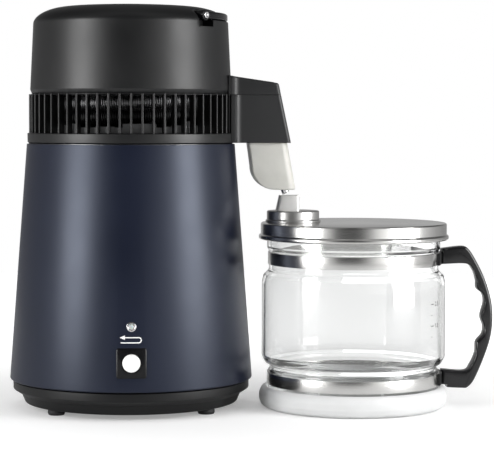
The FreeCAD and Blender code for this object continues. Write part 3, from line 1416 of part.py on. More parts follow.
for feature in doc.Objects:
    if "Invalid" in feature.State or "Error" in feature.State:
        raise RuntimeError(f"{feature.Label} did not compute: {feature.State}")
for feature in NODES:
    if feature.Shape.isNull() or not feature.Shape.isValid() or feature.Shape.Volume <= 0:
        raise RuntimeError(f"{feature.Label} has no valid solid")

os.makedirs("parts", exist_ok=True)
for feature in NODES:
    feature.Shape.exportStep(f"parts/{feature.Label}.step")
    box = feature.Shape.BoundBox
    print(
        f"{feature.Label:18} {len(feature.Shape.Solids):3} solids {feature.Shape.Volume:12.1f} mm3"
        f"  x {box.XMin:7.1f} {box.XMax:7.1f}  y {box.YMin:7.1f} {box.YMax:7.1f}"
        f"  z {box.ZMin:6.1f} {box.ZMax:6.1f}"
    )
print(len(NODES), "sub-parts")
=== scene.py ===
# %% [markdown]
# A countertop water distiller, dressed piece by piece. The real thing is a painted steel boiler with a plastic
# fan head on top, and a glass jug that stands under the spout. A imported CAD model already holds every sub-part
# in its true place, so this lesson builds finer skins round the same places: turned shells, lofted mouldings,
# glass and steel, each with its own finish. All drawing is in millimetres, round two upright axes: the
# machine's and the jug's. Building to the model's own sizes, instead of fitting by eye, keeps every piece true
# from any side.

# %% Load the frame and open the tool box
import math
import random

import bmesh
import bpy
from mathutils import Matrix, Vector


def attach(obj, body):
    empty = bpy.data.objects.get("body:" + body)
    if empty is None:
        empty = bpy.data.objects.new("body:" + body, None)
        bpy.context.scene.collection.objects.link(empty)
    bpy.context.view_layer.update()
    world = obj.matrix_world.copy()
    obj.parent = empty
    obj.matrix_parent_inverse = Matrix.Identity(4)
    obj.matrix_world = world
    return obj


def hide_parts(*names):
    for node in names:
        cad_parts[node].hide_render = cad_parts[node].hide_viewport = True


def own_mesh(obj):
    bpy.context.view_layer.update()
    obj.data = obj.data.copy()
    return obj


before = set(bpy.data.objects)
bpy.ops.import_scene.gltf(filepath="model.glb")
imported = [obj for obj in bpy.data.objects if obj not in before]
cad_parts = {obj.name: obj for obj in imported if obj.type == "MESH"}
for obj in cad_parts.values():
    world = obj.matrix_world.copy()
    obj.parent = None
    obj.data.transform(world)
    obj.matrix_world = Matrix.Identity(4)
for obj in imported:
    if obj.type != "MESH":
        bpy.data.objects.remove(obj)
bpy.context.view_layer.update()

scene = bpy.context.scene
MM = 0.001
ORIGIN = Vector((0, 0, 0))
MACHINE = Vector((-113.35, 0, 0))
JUG = Vector((95.55, -16, 0))

# %% [markdown]
# Outlines come first. A workshop drawing gives corners and their radii, and a moulded or pressed part has
# hardly one sharp corner. Each corner could be rounded later with a bevel, but on a turned part it is simpler
# and cleaner to round the drawn outline before it is turned.

# %% Round the corners of an outline
def rounded(corners, closed=False, steps=4):
    """A drawn outline in millimetres. A corner is (across, up) or (across, up, radius)."""
    line = []
    ends = () if closed else (0, len(corners) - 1)
    for number, corner in enumerate(corners):
        here = Vector(corner[:2])
        if len(corner) == 2 or number in ends:
            line.append(here)
            continue
        back = Vector(corners[number - 1][:2]) - here
        on = Vector(corners[(number + 1) % len(corners)][:2]) - here
        half = back.angle(on) / 2
        reach = min(corner[2] / math.tan(half), back.length * 0.49, on.length * 0.49)
        start = here + back.normalized() * reach
        stop = here + on.normalized() * reach
        middle = here + (back.normalized() + on.normalized()).normalized() * (reach / math.cos(half))
        for step in range(steps + 1):
            ray = (start - middle).lerp(stop - middle, step / steps).normalized()
            line.append(middle + ray * (start - middle).length)
    return line


def oblong(left, right, low, high, corner, steps=4):
    """A rounded rectangle. corner is one radius, or four of them, counter-clockwise from the lower left."""
    radii = corner if isinstance(corner, tuple) else (corner,) * 4
    ends = ((left, low), (right, low), (right, high), (left, high))
    return rounded([(*end, radius) for end, radius in zip(ends, radii)], True, steps)


print("a square with 2 mm corners has", len(oblong(0, 9, 0, 9, 2)), "points")

# %% [markdown]
# Most of this product is turned, spun or drawn round an axis: shell, cap, bands, lid and jug. A Screw modifier
# could turn an outline too. Writing the rings in bmesh takes a few lines and gives exact control over the part
# of a turn, the poles and the seam.

# %% Turn an outline, or skin a row of rings
def around(axis, radius, angle, z):
    """The point at a radius, an angle in radians and a height round an upright axis."""
    return axis + Vector((radius * math.cos(angle), radius * math.sin(angle), z))


def level(axis, outline, z):
    """A flat outline seen from above, at a height beside an upright axis."""
    return [axis + Vector((x, y, z)) for x, y in outline]


def skin(bm, rings, closed=True):
    """Faces between neighbouring rings. Points shared by both rings make triangles."""
    count = len(rings[0])
    for low, high in zip(rings, rings[1:]):
        for i in range(count if closed else count - 1):
            j = (i + 1) % count
            corners = list(dict.fromkeys((low[i], low[j], high[j], high[i])))
            if len(corners) > 2:
                bm.faces.new(corners)


def turned(outline, axis=MACHINE, closed=False, steps=180, start=0, sweep=360, shape=None):
    """A mesh turned from an outline of (radius, height). shape(radius, degrees) may change a radius."""
    bm = bmesh.new()
    rings = []
    whole = sweep == 360.0
    for step in range(steps if whole else steps + 1):
        degrees = start + sweep * step / steps
        ray = Vector((math.cos(math.radians(degrees)), math.sin(math.radians(degrees)), 0))
        ring = []
        for number, (radius, height) in enumerate(outline):
            if radius < 1e-6 and rings:
                ring.append(rings[0][number])
                continue
            width = shape(radius, degrees) if shape else radius
            ring.append(bm.verts.new((axis + ray * width + Vector((0, 0, height))) * MM))
        rings.append(ring)
    if whole:
        rings.append(rings[0])
    skin(bm, rings, closed)
    if closed and not whole:
        bm.faces.new(rings[0])
        bm.faces.new(rings[-1])
    return bm


def lofted(sections, capped=True, into=None):
    """A mesh through a row of closed sections, each a list of points in millimetres."""
    bm = into or bmesh.new()
    rings = [[bm.verts.new(Vector(point) * MM) for point in section] for section in sections]
    skin(bm, rings)
    if capped:
        bm.faces.new(rings[0])
        bm.faces.new(rings[-1])
    return bm


test = turned(rounded([(0, 0), (9, 0, 2), (9, 9)]))
print("a turned test cup has", len(test.faces), "faces")
test.free()

# %% [markdown]
# A finished piece needs the same few things each time: smooth shading with true edges, a material, the body
# that it rides on and the CAD node that it stands for. One helper does this, so no piece can miss a step.
# Others cut a mesh, carry it to its place or join several. A modifier left on a piece could cut it too, but
# applied cuts leave a plain mesh that looks the same everywhere.

# %% Fit a mesh to the product
def add_to_scene(name, bm):
    """An object from a mesh, with its seams closed and its faces turned outwards."""
    bmesh.ops.remove_doubles(bm, verts=bm.verts, dist=1e-7)
    bmesh.ops.recalc_face_normals(bm, faces=bm.faces)
    mesh = bpy.data.meshes.new(name)
    bm.to_mesh(mesh)
    bm.free()
    made = bpy.data.objects.new(name, mesh)
    scene.collection.objects.link(made)
    return made


def piece(name, bm, body, slot, material, *stands_for, crease=32):
    """Adds a finished piece. crease is the angle above which an edge stays sharp."""
    made = add_to_scene(name, bm)
    made.data.materials.append(material)
    made.data.shade_smooth()
    made.data.set_sharp_from_angle(angle=math.radians(crease))
    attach(made, body)
    if stands_for:
        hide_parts(*stands_for)
    size = made.dimensions / MM
    print(f"{name}: {size.x:.1f} x {size.y:.1f} x {size.z:.1f} mm, {len(made.data.polygons)} faces")
    return made


def carved(bm, *cutters):
    """The mesh with other closed meshes cut out of it."""
    work = add_to_scene("work", bm)
    helpers = [add_to_scene("cutter", cutter) for cutter in cutters]
    for helper in helpers:
        cut = work.modifiers.new("cut", "BOOLEAN")
        cut.object = helper
        cut.solver = "EXACT"
    bpy.context.view_layer.update()
    mesh = bpy.data.meshes.new_from_object(work.evaluated_get(bpy.context.evaluated_depsgraph_get()))
    result = bmesh.new()
    result.from_mesh(mesh)
    bpy.data.meshes.remove(mesh)
    for used in [work, *helpers]:
        bpy.data.objects.remove(used)
    return result


def moved(bm, matrix):
    """The mesh carried to its place. The matrix's shift is in millimetres."""
    place = matrix.copy()
    place.translation *= MM
    bmesh.ops.transform(bm, matrix=place, verts=bm.verts)
    return bm


def turn_by(degrees, axis):
    """A rotation about a named axis, to use with moved."""
    return Matrix.Rotation(math.radians(degrees), 4, axis)


def joined(*meshes):
    """Several meshes as one."""
    whole = bmesh.new()
    for bm in meshes:
        mesh = bpy.data.meshes.new("part")
        bm.to_mesh(mesh)
        bm.free()
        whole.from_mesh(mesh)
        bpy.data.meshes.remove(mesh)
    return whole


print("helpers: piece, carved, moved, turn_by, joined")

# %% [markdown]
# Finishes are made with nodes, so they need no picture and work at any scale. Real plastic, paint and steel are
# never one flat value: the tone drifts slowly over a hand's width, and a fine texture breaks up the gloss.
# Steel also keeps the fine rings of the lathe or polishing wheel, so its grain is read from the distance to the
# axis.

# %% Build a finish from nodes
def put(tree, source, socket):
    """Sets an input to a value, or links it to a node's output. A node stands for its first output."""
    if isinstance(source, bpy.types.Node):
        source = source.outputs[0]
    if isinstance(source, bpy.types.NodeSocket):
        tree.links.new(source, socket)
    else:
        socket.default_value = source


def add(tree, kind, inputs=None, **settings):
    """A new shader node with its settings and inputs."""
    node = tree.nodes.new("ShaderNode" + kind)
    for key, value in settings.items():
        setattr(node, key, value)
    for socket, source in (inputs or {}).items():
        put(tree, source, node.inputs[socket])
    return node


def calc(tree, operation, *values, kind="Math"):
    """A sum on values, or on vectors with kind="VectorMath"."""
    return add(tree, kind, dict(enumerate(values)), operation=operation)


def ramp(tree, value, low, high, start, end):
    """A value carried evenly from one range to another."""
    return add(tree, "MapRange", {"Value": value, 1: low, 2: high, 3: start, 4: end})


def scaled(tree, colour, share):
    """A colour made darker or lighter by a share."""
    return add(tree, "VectorMath", {0: colour, "Scale": share}, operation="SCALE")


print("node helpers: put, add, calc, ramp, scaled")

# %% [markdown]
# The finish itself: two noises, one for the slow drift and one for the fine texture, both read from the
# object's own coordinates. They vary the tone and the gloss, and the fine one can raise a little relief.

# %% One finish for all opaque materials
def grain_place(tree, place, axis):
    """Coordinates that change only with the distance from the axis and with height."""
    offset = calc(tree, "SUBTRACT", place, axis * MM, kind="VectorMath")
    flat = calc(tree, "MULTIPLY", offset, (1, 1, 0), kind="VectorMath")
    radius = calc(tree, "LENGTH", flat, kind="VectorMath").outputs["Value"]
    return add(tree, "CombineXYZ", {"X": radius, "Y": add(tree, "SeparateXYZ", {0: offset}).outputs["Z"]})


def finish(name, colour, rough, metal=0, drift=0.1, patch=30, relief=0, fine=0.5, axis=None, **sockets):
    """A procedural finish: patch is the size of its tone patches and fine the size of its texture, in mm."""
    material = bpy.data.materials.new(name)
    material.use_nodes = True
    tree = material.node_tree
    shader = tree.nodes["Principled BSDF"]
    place = add(tree, "TexCoord").outputs["Object"]
    cloud = add(tree, "TexNoise", {"Vector": place, "Scale": 1000 / patch, "Detail": 3})
    tone = scaled(tree, colour, ramp(tree, cloud, 0.3, 0.7, 1 - drift, 1 + drift))
    put(tree, tone, shader.inputs["Base Color"])
    texture_place = grain_place(tree, place, axis) if axis is not None else place
    texture = add(tree, "TexNoise", {"Vector": texture_place, "Scale": 1000 / fine, "Detail": 2})
    gloss = ramp(tree, calc(tree, "ADD", cloud, texture), 0.6, 1.4, rough * 0.85, rough * 1.2)
    put(tree, gloss, shader.inputs["Roughness"])
    if relief:
        bump = add(tree, "Bump", {"Strength": relief, "Distance": 0.0001, "Height": texture})
        put(tree, bump, shader.inputs["Normal"])
    shader.inputs["Metallic"].default_value = metal
    for socket, value in sockets.items():
        shader.inputs[socket.replace("_", " ")].default_value = value
    return material


navy_paint = finish("navy_paint", (0.0022, 0.004, 0.0135), 0.37, drift=0.08, patch=60, relief=0.06, fine=0.9,
                    Specular_IOR_Level=0.55, Specular_Tint=(0.76, 0.83, 1, 1))
print("the navy paint has", len(navy_paint.node_tree.nodes), "nodes")

# %% [markdown]
# Black plastic is never all black: each moulding has its own grain and gloss, so cap, spout, pan and grip get
# blacks of their own. Soft plastics such as silicone let light in under the skin. Each metal differs in tone
# and polish. One shared black and one shared grey would be quicker, but the product would look cast in one
# piece.

# %% Plastics, rubber and metals
black_satin = finish("black_satin", (0.0036, 0.0038, 0.0042), 0.38, drift=0.12, patch=40, relief=0.1, fine=0.6,
                     Specular_IOR_Level=0.46)
pan_satin = finish("pan_satin", (0.0034, 0.0036, 0.004), 0.42, drift=0.12, patch=40, relief=0.1, fine=0.6,
                   Specular_IOR_Level=0.33)
spout_satin = finish("spout_satin", (0.0125, 0.013, 0.0138), 0.42, drift=0.12, patch=40, relief=0.1, fine=0.6,
                     Specular_IOR_Level=0.5)
grip_black = finish("grip_black", (0.0045, 0.0045, 0.0052), 0.2, drift=0.1, patch=25, relief=0.02, fine=0.8,
                    Specular_IOR_Level=0.6)
black_gloss = finish("black_gloss", (0.005, 0.005, 0.006), 0.16, drift=0.1, patch=30, Specular_IOR_Level=0.3)
white_plastic = finish("white_plastic", (0.93, 0.93, 0.92), 0.32, drift=0.03, patch=12, relief=0.05, fine=0.5)
rubber = finish("rubber", (0.014, 0.014, 0.015), 0.7, drift=0.2, patch=9, relief=0.3, fine=0.7)
silicone = finish("silicone", (0.71, 0.715, 0.715), 0.42, drift=0.03, patch=25, relief=0.08, fine=0.5,
                  Subsurface_Weight=0.35, Subsurface_Scale=0.012, Subsurface_Radius=(1, 1, 1))
frosted = finish("frosted", (0.635, 0.63, 0.58), 0.38, drift=0.05, patch=16, relief=0.12, fine=0.4,
                 Subsurface_Weight=0.5, Subsurface_Scale=0.008, Subsurface_Radius=(1, 1, 0.92))
lid_steel = finish("lid_steel", (0.72, 0.715, 0.7), 0.19, metal=1, drift=0.02, patch=60, relief=0.05, fine=0.35,
                   axis=JUG)
INLET = MACHINE + Vector((153, 0, 0))
inlet_steel = finish("inlet_steel", (0.66, 0.655, 0.645), 0.3, metal=1, drift=0.02, patch=30, relief=0.08,
                     fine=0.35, axis=INLET)
satin_steel = finish("satin_steel", (0.9, 0.895, 0.88), 0.5, metal=1, drift=0.03, patch=12, relief=0.05,
                     fine=0.3)
coil_steel = finish("coil_steel", (0.12, 0.12, 0.123), 0.5, metal=1, drift=0.06, patch=10, relief=0.1, fine=0.4)
fin_metal = finish("fin_metal", (0.26, 0.26, 0.265), 0.5, metal=1, drift=0.1, patch=6, relief=0.1, fine=0.3)
base_steel = finish("base_steel", (0.42, 0.42, 0.43), 0.3, metal=1, drift=0.05, patch=40, relief=0.12, fine=0.4,
                    axis=MACHINE)
bright_steel = finish("bright_steel", (0.75, 0.75, 0.76), 0.14, metal=1, drift=0.04, patch=8)
aluminium = finish("aluminium", (0.5, 0.5, 0.51), 0.42, metal=1, drift=0.08, patch=6, relief=0.1, fine=0.3)
brass = finish("brass", (0.68, 0.5, 0.22), 0.28, metal=1, drift=0.08, patch=6)
felt = finish("felt", (0.62, 0.58, 0.49), 0.95, drift=0.14, patch=5, relief=0.8, fine=0.5)
charcoal = finish("charcoal", (0.02, 0.02, 0.022), 0.9, drift=0.5, patch=2.5, relief=0.9, fine=1.2)
lens = finish("lens", (0.5, 0.52, 0.51), 0.2, drift=0.03, patch=2, Subsurface_Weight=0.3,
              Subsurface_Scale=0.002)
print("finishes:", len(bpy.data.materials))

# %% [markdown]
# Behind the grille little light reaches the lower part of the coil and its fins, so shade is painted into their
# tone there, falling smoothly with the height. Two materials with a hard border would show a line, so the tone
# of one finish is ramped instead.

# %% Paint shade on the lower coil and fins
def painted_shade_below(material, low, high, share):
    """Painted shade: the tone falls to a share of itself, from the high to the low of two heights in mm."""
    tree = material.node_tree
    base = tree.nodes["Principled BSDF"].inputs["Base Color"]
    height = add(tree, "SeparateXYZ", {0: add(tree, "TexCoord").outputs["Object"]}).outputs["Z"]
    put(tree, scaled(tree, base.links[0].from_socket, ramp(tree, height, low * MM, high * MM, share, 1)), base)


# Painted shade on the lower turn of the coil and on its fins.
for material in (coil_steel, fin_metal):
    painted_shade_below(material, 277, 281, 0.12)
    print(material.name, "darkens below 281 mm")

# %% [markdown]
# Clear glass bends the light that goes through it and hardly colours it. The shader is a smooth, fully
# transmitting one. Where a wall is seen along its length it swallows more light, which a ramp on the viewing
# angle gives.

# %% Mix the glass
def clear(name, colour, rough, ior=1.46, shade=0.9, edge=0.25):
    """Clear glass. edge is how much light is left where the wall is seen along its length."""
    material = finish(name, colour, rough, drift=0.01, patch=50, Transmission_Weight=1, IOR=ior,
                      Specular_IOR_Level=0.08)
    tree = material.node_tree
    shader = tree.nodes["Principled BSDF"]
    facing = add(tree, "LayerWeight", {"Blend": 0.5}).outputs["Facing"]
    put(tree, scaled(tree, colour, ramp(tree, facing, 0.78, 0.92, 1, edge)), shader.inputs["Base Color"])
    see = add(tree, "BsdfTransparent", {"Color": (shade, shade, shade, 1)})
    shadow = add(tree, "LightPath").outputs["Is Shadow Ray"]
    mix = add(tree, "MixShader", {"Fac": shadow, 1: shader, 2: see})
    put(tree, mix, tree.nodes["Material Output"].inputs["Surface"])
    return material


glass = clear("glass", (0.957, 0.961, 0.959), 0.015)
print("glass:", glass.name)

# %% [markdown]
# Button, lamp and sockets stand square to the boiler's leaning sheet. A matrix for each place holds this lean
# once, so each part can be drawn upright and is then carried there. Working out tilted points one by one would
# be slower and easy to get wrong.

# %% Places on the cone
FOOT_RADIUS, TOP_RADIUS, FOOT_Z, TOP_Z = 114, 97.5, 27, 247.0
LEAN = math.atan2(FOOT_RADIUS - TOP_RADIUS, TOP_Z - FOOT_Z)


def cone_radius(height):
    """The shell's outer radius at a height."""
    return FOOT_RADIUS - (height - FOOT_Z) * math.tan(LEAN)


def panel(height, back=False):
    """A place on the cone: X to the right, Y into the shell, Z up along the sheet."""
    turn = turn_by(180 if back else 0, "Z")
    out = turn @ Vector((0, -cone_radius(height), height))
    return Matrix.Translation(MACHINE + out) @ turn @ Matrix.Rotation(-LEAN, 4, "X")


BUTTON, LAMP = panel(53.4), panel(85.6)
MAINS, LINK = panel(58, True), panel(86, True)
print(f"the cone leans {math.degrees(LEAN):.2f} degrees")

# %% [markdown]
# What stands on a panel points along Y. A turned mesh laid on its side gives the round things, and a loft
# through rounded rectangles gives the square ones. Ready-made cylinders and cubes would need their edges
# rounded afterwards, one by one.

# %% Turned things that point along Y, and rounded blocks
def plug(outline, steps=48, **options):
    """A turned mesh whose axis is Y: an outline of (radius, depth)."""
    return moved(turned(outline, ORIGIN, steps=steps, **options), turn_by(-90, "X"))


def slab(rows):
    """A loft along Y through rounded rectangles: rows of (width, height, corner, depth)."""
    return lofted([[(x, depth, z) for x, z in oblong(-width / 2, width / 2, -height / 2, height / 2, corner, 5)]
                   for width, height, corner, depth in rows])


print("a slab test has", len(slab([(9, 9, 2, 0), (9, 9, 2, 5)]).faces), "faces")

# %% [markdown]
# The boiler's body is one sheet of steel rolled to a slow cone, hemmed inwards at both ends and painted dark
# navy. A plain cone would have razor edges, so the outline turns round each hem. The holes for the button, the
# lamp and the sockets are cut through the skin, because light and fingers find them.

# %% The painted shell
shell_line = rounded([
    (107, 27.8), (107, 27), (114, 27, 1.2), (97.5, 247, 0.6), (94.5, 247), (94.5, 246.2),
    (96.7, 246.2, 0.6), (113.14, 27.85, 0.4),
], True)
shell_cutters = [
    moved(slab([(24.8, 24.8, 2, -6), (24.8, 24.8, 2, 8)]), BUTTON),
    moved(plug([(0, -4), (4.1, -4), (4.1, 6), (0, 6)]), LAMP),
    moved(slab([(28.4, 21.2, 1, -6), (28.4, 21.2, 1, 8)]), MAINS),
    moved(plug([(0, -4), (6.6, -4), (6.6, 6), (0, 6)]), LINK),
]
piece("painted_shell", carved(turned(shell_line, closed=True, steps=240), *shell_cutters),
      "base", "navy_paint", navy_paint, "outer_shell")

# %% [markdown]
# The bottom pan is a black moulding that closes the base. It has an upright rim in the shadow of the shell, a
# slope under it and a flat floor on four rubber feet. One outline of rim and floor gives all of it in one turn.
# A solid disc would look the same from outside, but would leave no room for the wiring.

# %% The bottom pan
pan_line = rounded([
    (0, 5), (99.8, 5, 1.8), (103.4, 13.4, 0.8), (111, 18.2, 1), (111, 25.4, 0.4), (109.2, 26.99, 0.3),
    (98, 26.99, 1), (98, 7.5, 2), (0, 7.5),
])
piece("bottom_pan", turned(pan_line, steps=360), "base", "black_satin_plastic", pan_satin, "base_pan")
foot_line = rounded([
    (0, 3), (3.4, 3, 0.3), (3.7, 1, 0.3), (5.6, 0, 0.8), (7.2, 0, 1), (8, 2.2, 0.8), (7.6, 5),
    (0, 5),
])
foot_places = [Vector((x, y, 0)) for x in (-68.49, 68.49) for y in (-59.94, 59.94)]
feet = joined(*[turned(foot_line, MACHINE + place, steps=48) for place in foot_places])
piece("feet", feet, "base", "black_rubber", rubber, "rubber_feet")

# %% [markdown]
# Small screws hold the whole together. Each has a low domed head with a cross recess. Their threads are hidden
# in bosses, so a plain shank is enough, but the recess is worth making because a bare disc never reads as a
# screw.

# %% Screws with a cross recess
def screw(head_radius, head_height, shank_radius, shank_length):
    """A screw standing on its head's underside, with the shank pointing down."""
    arm, reach = head_radius * 0.14, head_radius * 0.62
    line = [(0, head_height - 0.9), (reach * 0.7, head_height - 0.8), (reach, head_height),
            (head_radius * 0.8, head_height), (head_radius, head_height * 0.55), (head_radius, 0),
            (shank_radius, 0), (shank_radius, -shank_length + 0.6), (shank_radius * 0.6, -shank_length),
            (0, -shank_length)]

    def cross(radius, degrees):
        """Draws the recess's rings in to the four arms, and leaves all other rings round."""
        if radius > reach + 1e-6 or radius == shank_radius * 0.6:
            return radius
        side = abs(math.sin(math.radians((degrees + 45) % 90 - 45)))
        return min(radius, arm / max(side, 1e-3)) if radius in (reach, reach * 0.7) else radius

    return turned(line, ORIGIN, steps=64, shape=cross)


def set_screws(name, places, sizes, body, *stands_for):
    """Equal screws at several places, as one piece."""
    whole = joined(*[moved(screw(*sizes), place) for place in places])
    return piece(name, whole, body, "polished_steel", bright_steel, *stands_for)


def ring_places(radius, first, height, down=False):
    """Four places on a ring round the machine's axis, a quarter turn apart."""
    tip = turn_by(180 if down else 0, "X")
    angles = [math.radians(first + 90 * quarter) for quarter in range(4)]
    return [Matrix.Translation(around(MACHINE, radius, angle, height)) @ tip for angle in angles]


set_screws("pan_screw_set", ring_places(105.5, 0, 19.5, True), (3.6, 2.2, 2, 14), "base", "pan_screws")
foot_screws = [Matrix.Translation(MACHINE + place + Vector((0, 0, 3))) @ turn_by(180, "X")
               for place in foot_places]
set_screws("foot_screw_set", foot_screws, (3.3, 2.2, 2, 8), "base", "foot_screws")

# %% [markdown]
# The white reset button sits in a square black plate. Its face is slightly dished for the fingertip and has a
# fine raised ring. The plate is one moulding with a soft outer edge and a round well. Both are built in the
# panel's own flat frame and then carried to the leaning shell, which is much easier than drawing them tilted.

# %% The button and its plate
plate = slab([(24, 24, 2, 16), (24, 24, 2, 0.05), (27, 27, 2.2, 0.05), (27, 27, 2.2, -0.3),
              (26.8, 26.8, 2.1, -0.45), (25, 25, 1.4, -1)])
well = plug(rounded([(0, 1.5), (8.25, 1.5), (8.25, -0.7), (8.85, -1.4), (0, -1.4)]), 72)
back_well = slab([(21, 21, 1.5, 1.7), (21, 21, 1.5, 20)])
plate = carved(moved(plate, BUTTON), moved(well, BUTTON), moved(back_well, BUTTON))
piece("reset_plate", plate, "base", "black_gloss_plastic", black_gloss, "button_plate")
button_line = rounded([
    (0, -1.25), (4.9, -1.5, 2), (5.7, -1.55, 0.3), (6.1, -1.3, 0.3), (6.6, -1.35, 0.3), (7, -1.8, 0.3),
    (8, -1.8, 0.7), (8, 1.6, 0.2), (9.35, 1.6), (9.35, 3.1), (2, 3.1), (2, 9.2), (0, 9.2),
])
piece("reset_cap", moved(plug(button_line, 72), BUTTON), "button", "white_plastic", white_plastic,
      "reset_button")

# %% [markdown]
# A small coil spring pushes the button back. A pressed spring keeps its wire and its turns and only gets
# shorter. Here the coil is wound at rest, between the button's flange and the switch, on a mesh of its own.

# %% The button's spring
def helix(radius, wire, near, far, turns, steps=32):
    """A round wire wound about the Y axis, between two flat ends at near and far."""
    sections = []
    for step in range(turns * steps + 1):
        along = near + wire + (far - near - 2 * wire) * step / (turns * steps)
        angle = 2 * math.pi * step / steps
        out = Vector((math.cos(angle), 0, math.sin(angle)))
        centre = out * radius + Vector((0, along, 0))
        ring = [math.pi * side / 6 for side in range(12)]
        sections.append([centre + (out * math.cos(turn) + Vector((0, math.sin(turn), 0))) * wire
                         for turn in ring])
    return lofted(sections)


FLANGE_BACK, SWITCH_FRONT, STROKE = 3.1, 9, 2.5
coil = moved(helix(4.6, 0.4, FLANGE_BACK, SWITCH_FRONT, 4), BUTTON)
spring = piece("button_coil", coil, "base", "polished_steel", bright_steel, "button_spring")
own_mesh(spring)

# %% [markdown]
# The lamp is a milky lens in a bright turned bezel. The lens is domed so that it catches the light as a point,
# and a nut clamps the bezel behind the sheet. Both are turned outlines: a flat disc would catch no light.

# %% The lamp
bezel_line = rounded([(2.9, -0.2), (2.9, -0.7, 0.15), (3.3, -1, 0.3), (4.2, -0.85, 0.4), (4.6, 0), (3.7, 0),
                      (3.7, 8), (2.9, 8)], True)
piece("lamp_bezel", moved(plug(bezel_line, closed=True), LAMP), "base", "polished_steel", bright_steel,
      "indicator_bezel")
lens_line = rounded([(0, -0.95), (1.4, -0.82, 2), (2.8, -0.1, 0.5), (2.8, 7), (0, 7)])
piece("lamp_lens", moved(plug(lens_line), LAMP), "base", "lamp_lens", lens, "indicator_lens")

# %% [markdown]
# A turned-back arrow over the button says "start again" in every language. It is a thin print, so it has to
# follow the cone exactly. Each corner of the flat drawing is wrapped round the shell by its own arc length and
# stands a few hundredths of a millimetre proud.

# %% A printed arrow
def printed(outlines, wrap):
    """Flat closed outlines, split finely and wrapped by wrap(across, up)."""
    bm = bmesh.new()
    for outline in outlines:
        bm.faces.new([bm.verts.new((x, z, 0)) for x, z in outline])
    bmesh.ops.triangulate(bm, faces=bm.faces)
    for _ in range(2):
        long_edges = [e for e in bm.edges if e.calc_length() > 2.5]
        bmesh.ops.subdivide_edges(bm, edges=long_edges, cuts=1)
    bmesh.ops.triangulate(bm, faces=bm.faces)
    for vertex in bm.verts:
        vertex.co = wrap(vertex.co.x, vertex.co.y) * MM
    return bm


def on_cone(height, proud=0.06):
    """Wraps a drawing on the shell's front, round a point at a height."""
    def wrap(across, up):
        z = height + up * math.cos(LEAN)
        return around(MACHINE, cone_radius(z) + proud, across / cone_radius(z) - math.pi / 2, z)
    return wrap


def ribbon(points, width):
    """A strip of one width along a row of points, as small quads."""
    sides = []
    for number, point in enumerate(points):
        before = Vector(points[max(number - 1, 0)])
        after = Vector(points[min(number + 1, len(points) - 1)])
        along = (after - before).normalized()
        normal = Vector((-along.y, along.x)) * width / 2
        sides.append((Vector(point) + normal, Vector(point) - normal))
    return [[a, b, d, c] for (a, b), (c, d) in zip(sides, sides[1:])]


bend = [(6.5 + 2.3 * math.sin(math.radians(a)), 2.3 * math.cos(math.radians(a))) for a in range(0, 181, 15)]
arrow = ribbon([(-6, 2.3), (0, 2.3), *bend, (0, -2.3), (-9.5, -2.3)], 0.95)
arrow.append([(-10.5, 2.3), (-5.8, 4.3), (-5.8, 0.3)])
piece("reset_arrow", printed(arrow, on_cone(73.9)), "base", "white_plastic", white_plastic)

# %% [markdown]
# Behind, the base has a mains inlet with three blades and a small round socket that feeds the fan. A mains
# inlet's well has two cut corners, so that a plug can go in one way only. Its lips are what the eye reads, so
# the flange and the well are lofted through rounded rectangles of changing size.

# %% Sockets
def keyed(width, height, cut, depth):
    """A well's outline with its two upper corners cut."""
    x, z = width / 2, height / 2
    corners = [(-x, -z, 1), (x, -z, 1), (x, z - cut, 1), (x - cut, z, 1), (cut - x, z, 1), (-x, z - cut, 1)]
    return [(px, depth, pz) for px, pz in rounded(corners, True)]


inlet_block = slab([(27.6, 20.4, 1.5, 22), (27.6, 20.4, 1.5, 0.05), (31, 25, 3, 0.05), (31, 25, 3, -0.5),
                    (30.2, 24.2, 2.6, -1)])
inlet_well = lofted([keyed(24.8, 17.4, 4.6, -1.6), keyed(24.8, 17.4, 4.6, -0.9), keyed(24, 16.6, 4.4, -0.4),
                     keyed(24, 16.6, 4.4, 16)])
piece("mains_inlet", moved(carved(inlet_block, inlet_well), MAINS), "base", "black_satin_plastic", black_satin,
      "power_inlet")


def blade(x):
    """A contact blade with a chamfered tip."""
    tip = [(2 - 0.4, 4 - 0.4, 0.3, 3.2), (2, 4, 0.4, 3.7), (2, 4, 0.4, 29)]
    return moved(slab(tip), Matrix.Translation((x, 0, 0)))


piece("mains_blades", moved(joined(blade(-7), blade(0), blade(7)), MAINS), "base", "brass", brass, "inlet_pins")


def round_socket(name, place, depth, body, node):
    """A flanged barrel with a blind bore and a centre pin."""
    socket_line = rounded([
        (0, -0.4), (0.6, -0.4, 0.2), (1, 0, 0.2), (1, depth - 1.6), (3.5, depth - 1.6), (3.5, -1, 0.3),
        (4.1, -1.5, 0.3), (7.4, -1.5, 0.7), (8, 0, 0.2), (6.2, 0.05), (6.2, depth), (0, depth),
    ])
    return piece(name, moved(plug(socket_line, 72), place), body, "black_satin_plastic", black_satin, node)


round_socket("fan_feed_socket", LINK, 8, "base", "fan_link_socket")

# %% [markdown]
# Inside the shell sits the boiling tank, a deep-drawn steel pot whose rim rests on the shell. It shows when the
# head is lifted off, so it gets its rounded bottom, its flat flange and two pressed lines that mark the least
# and the most water.

# %% The boiling tank
tank_line = rounded([
    (0, 87), (81.5, 87, 8.8), (89.8, 95.3, 1), (89.8, 247, 0.3), (95, 247), (95, 247.8, 0.3),
    (89, 247.8, 0.8), (89, 224, 0.3), (88.5, 223.4, 0.3), (89, 222.8, 0.3), (89, 121, 0.3),
    (88.5, 120.4, 0.3), (89, 119.8, 0.3), (89, 95.7, 1), (81.2, 87.8, 8), (0, 87.8),
])
piece("water_tank", turned(tank_line, steps=200), "base", "brushed_steel", base_steel, "boiling_tank")

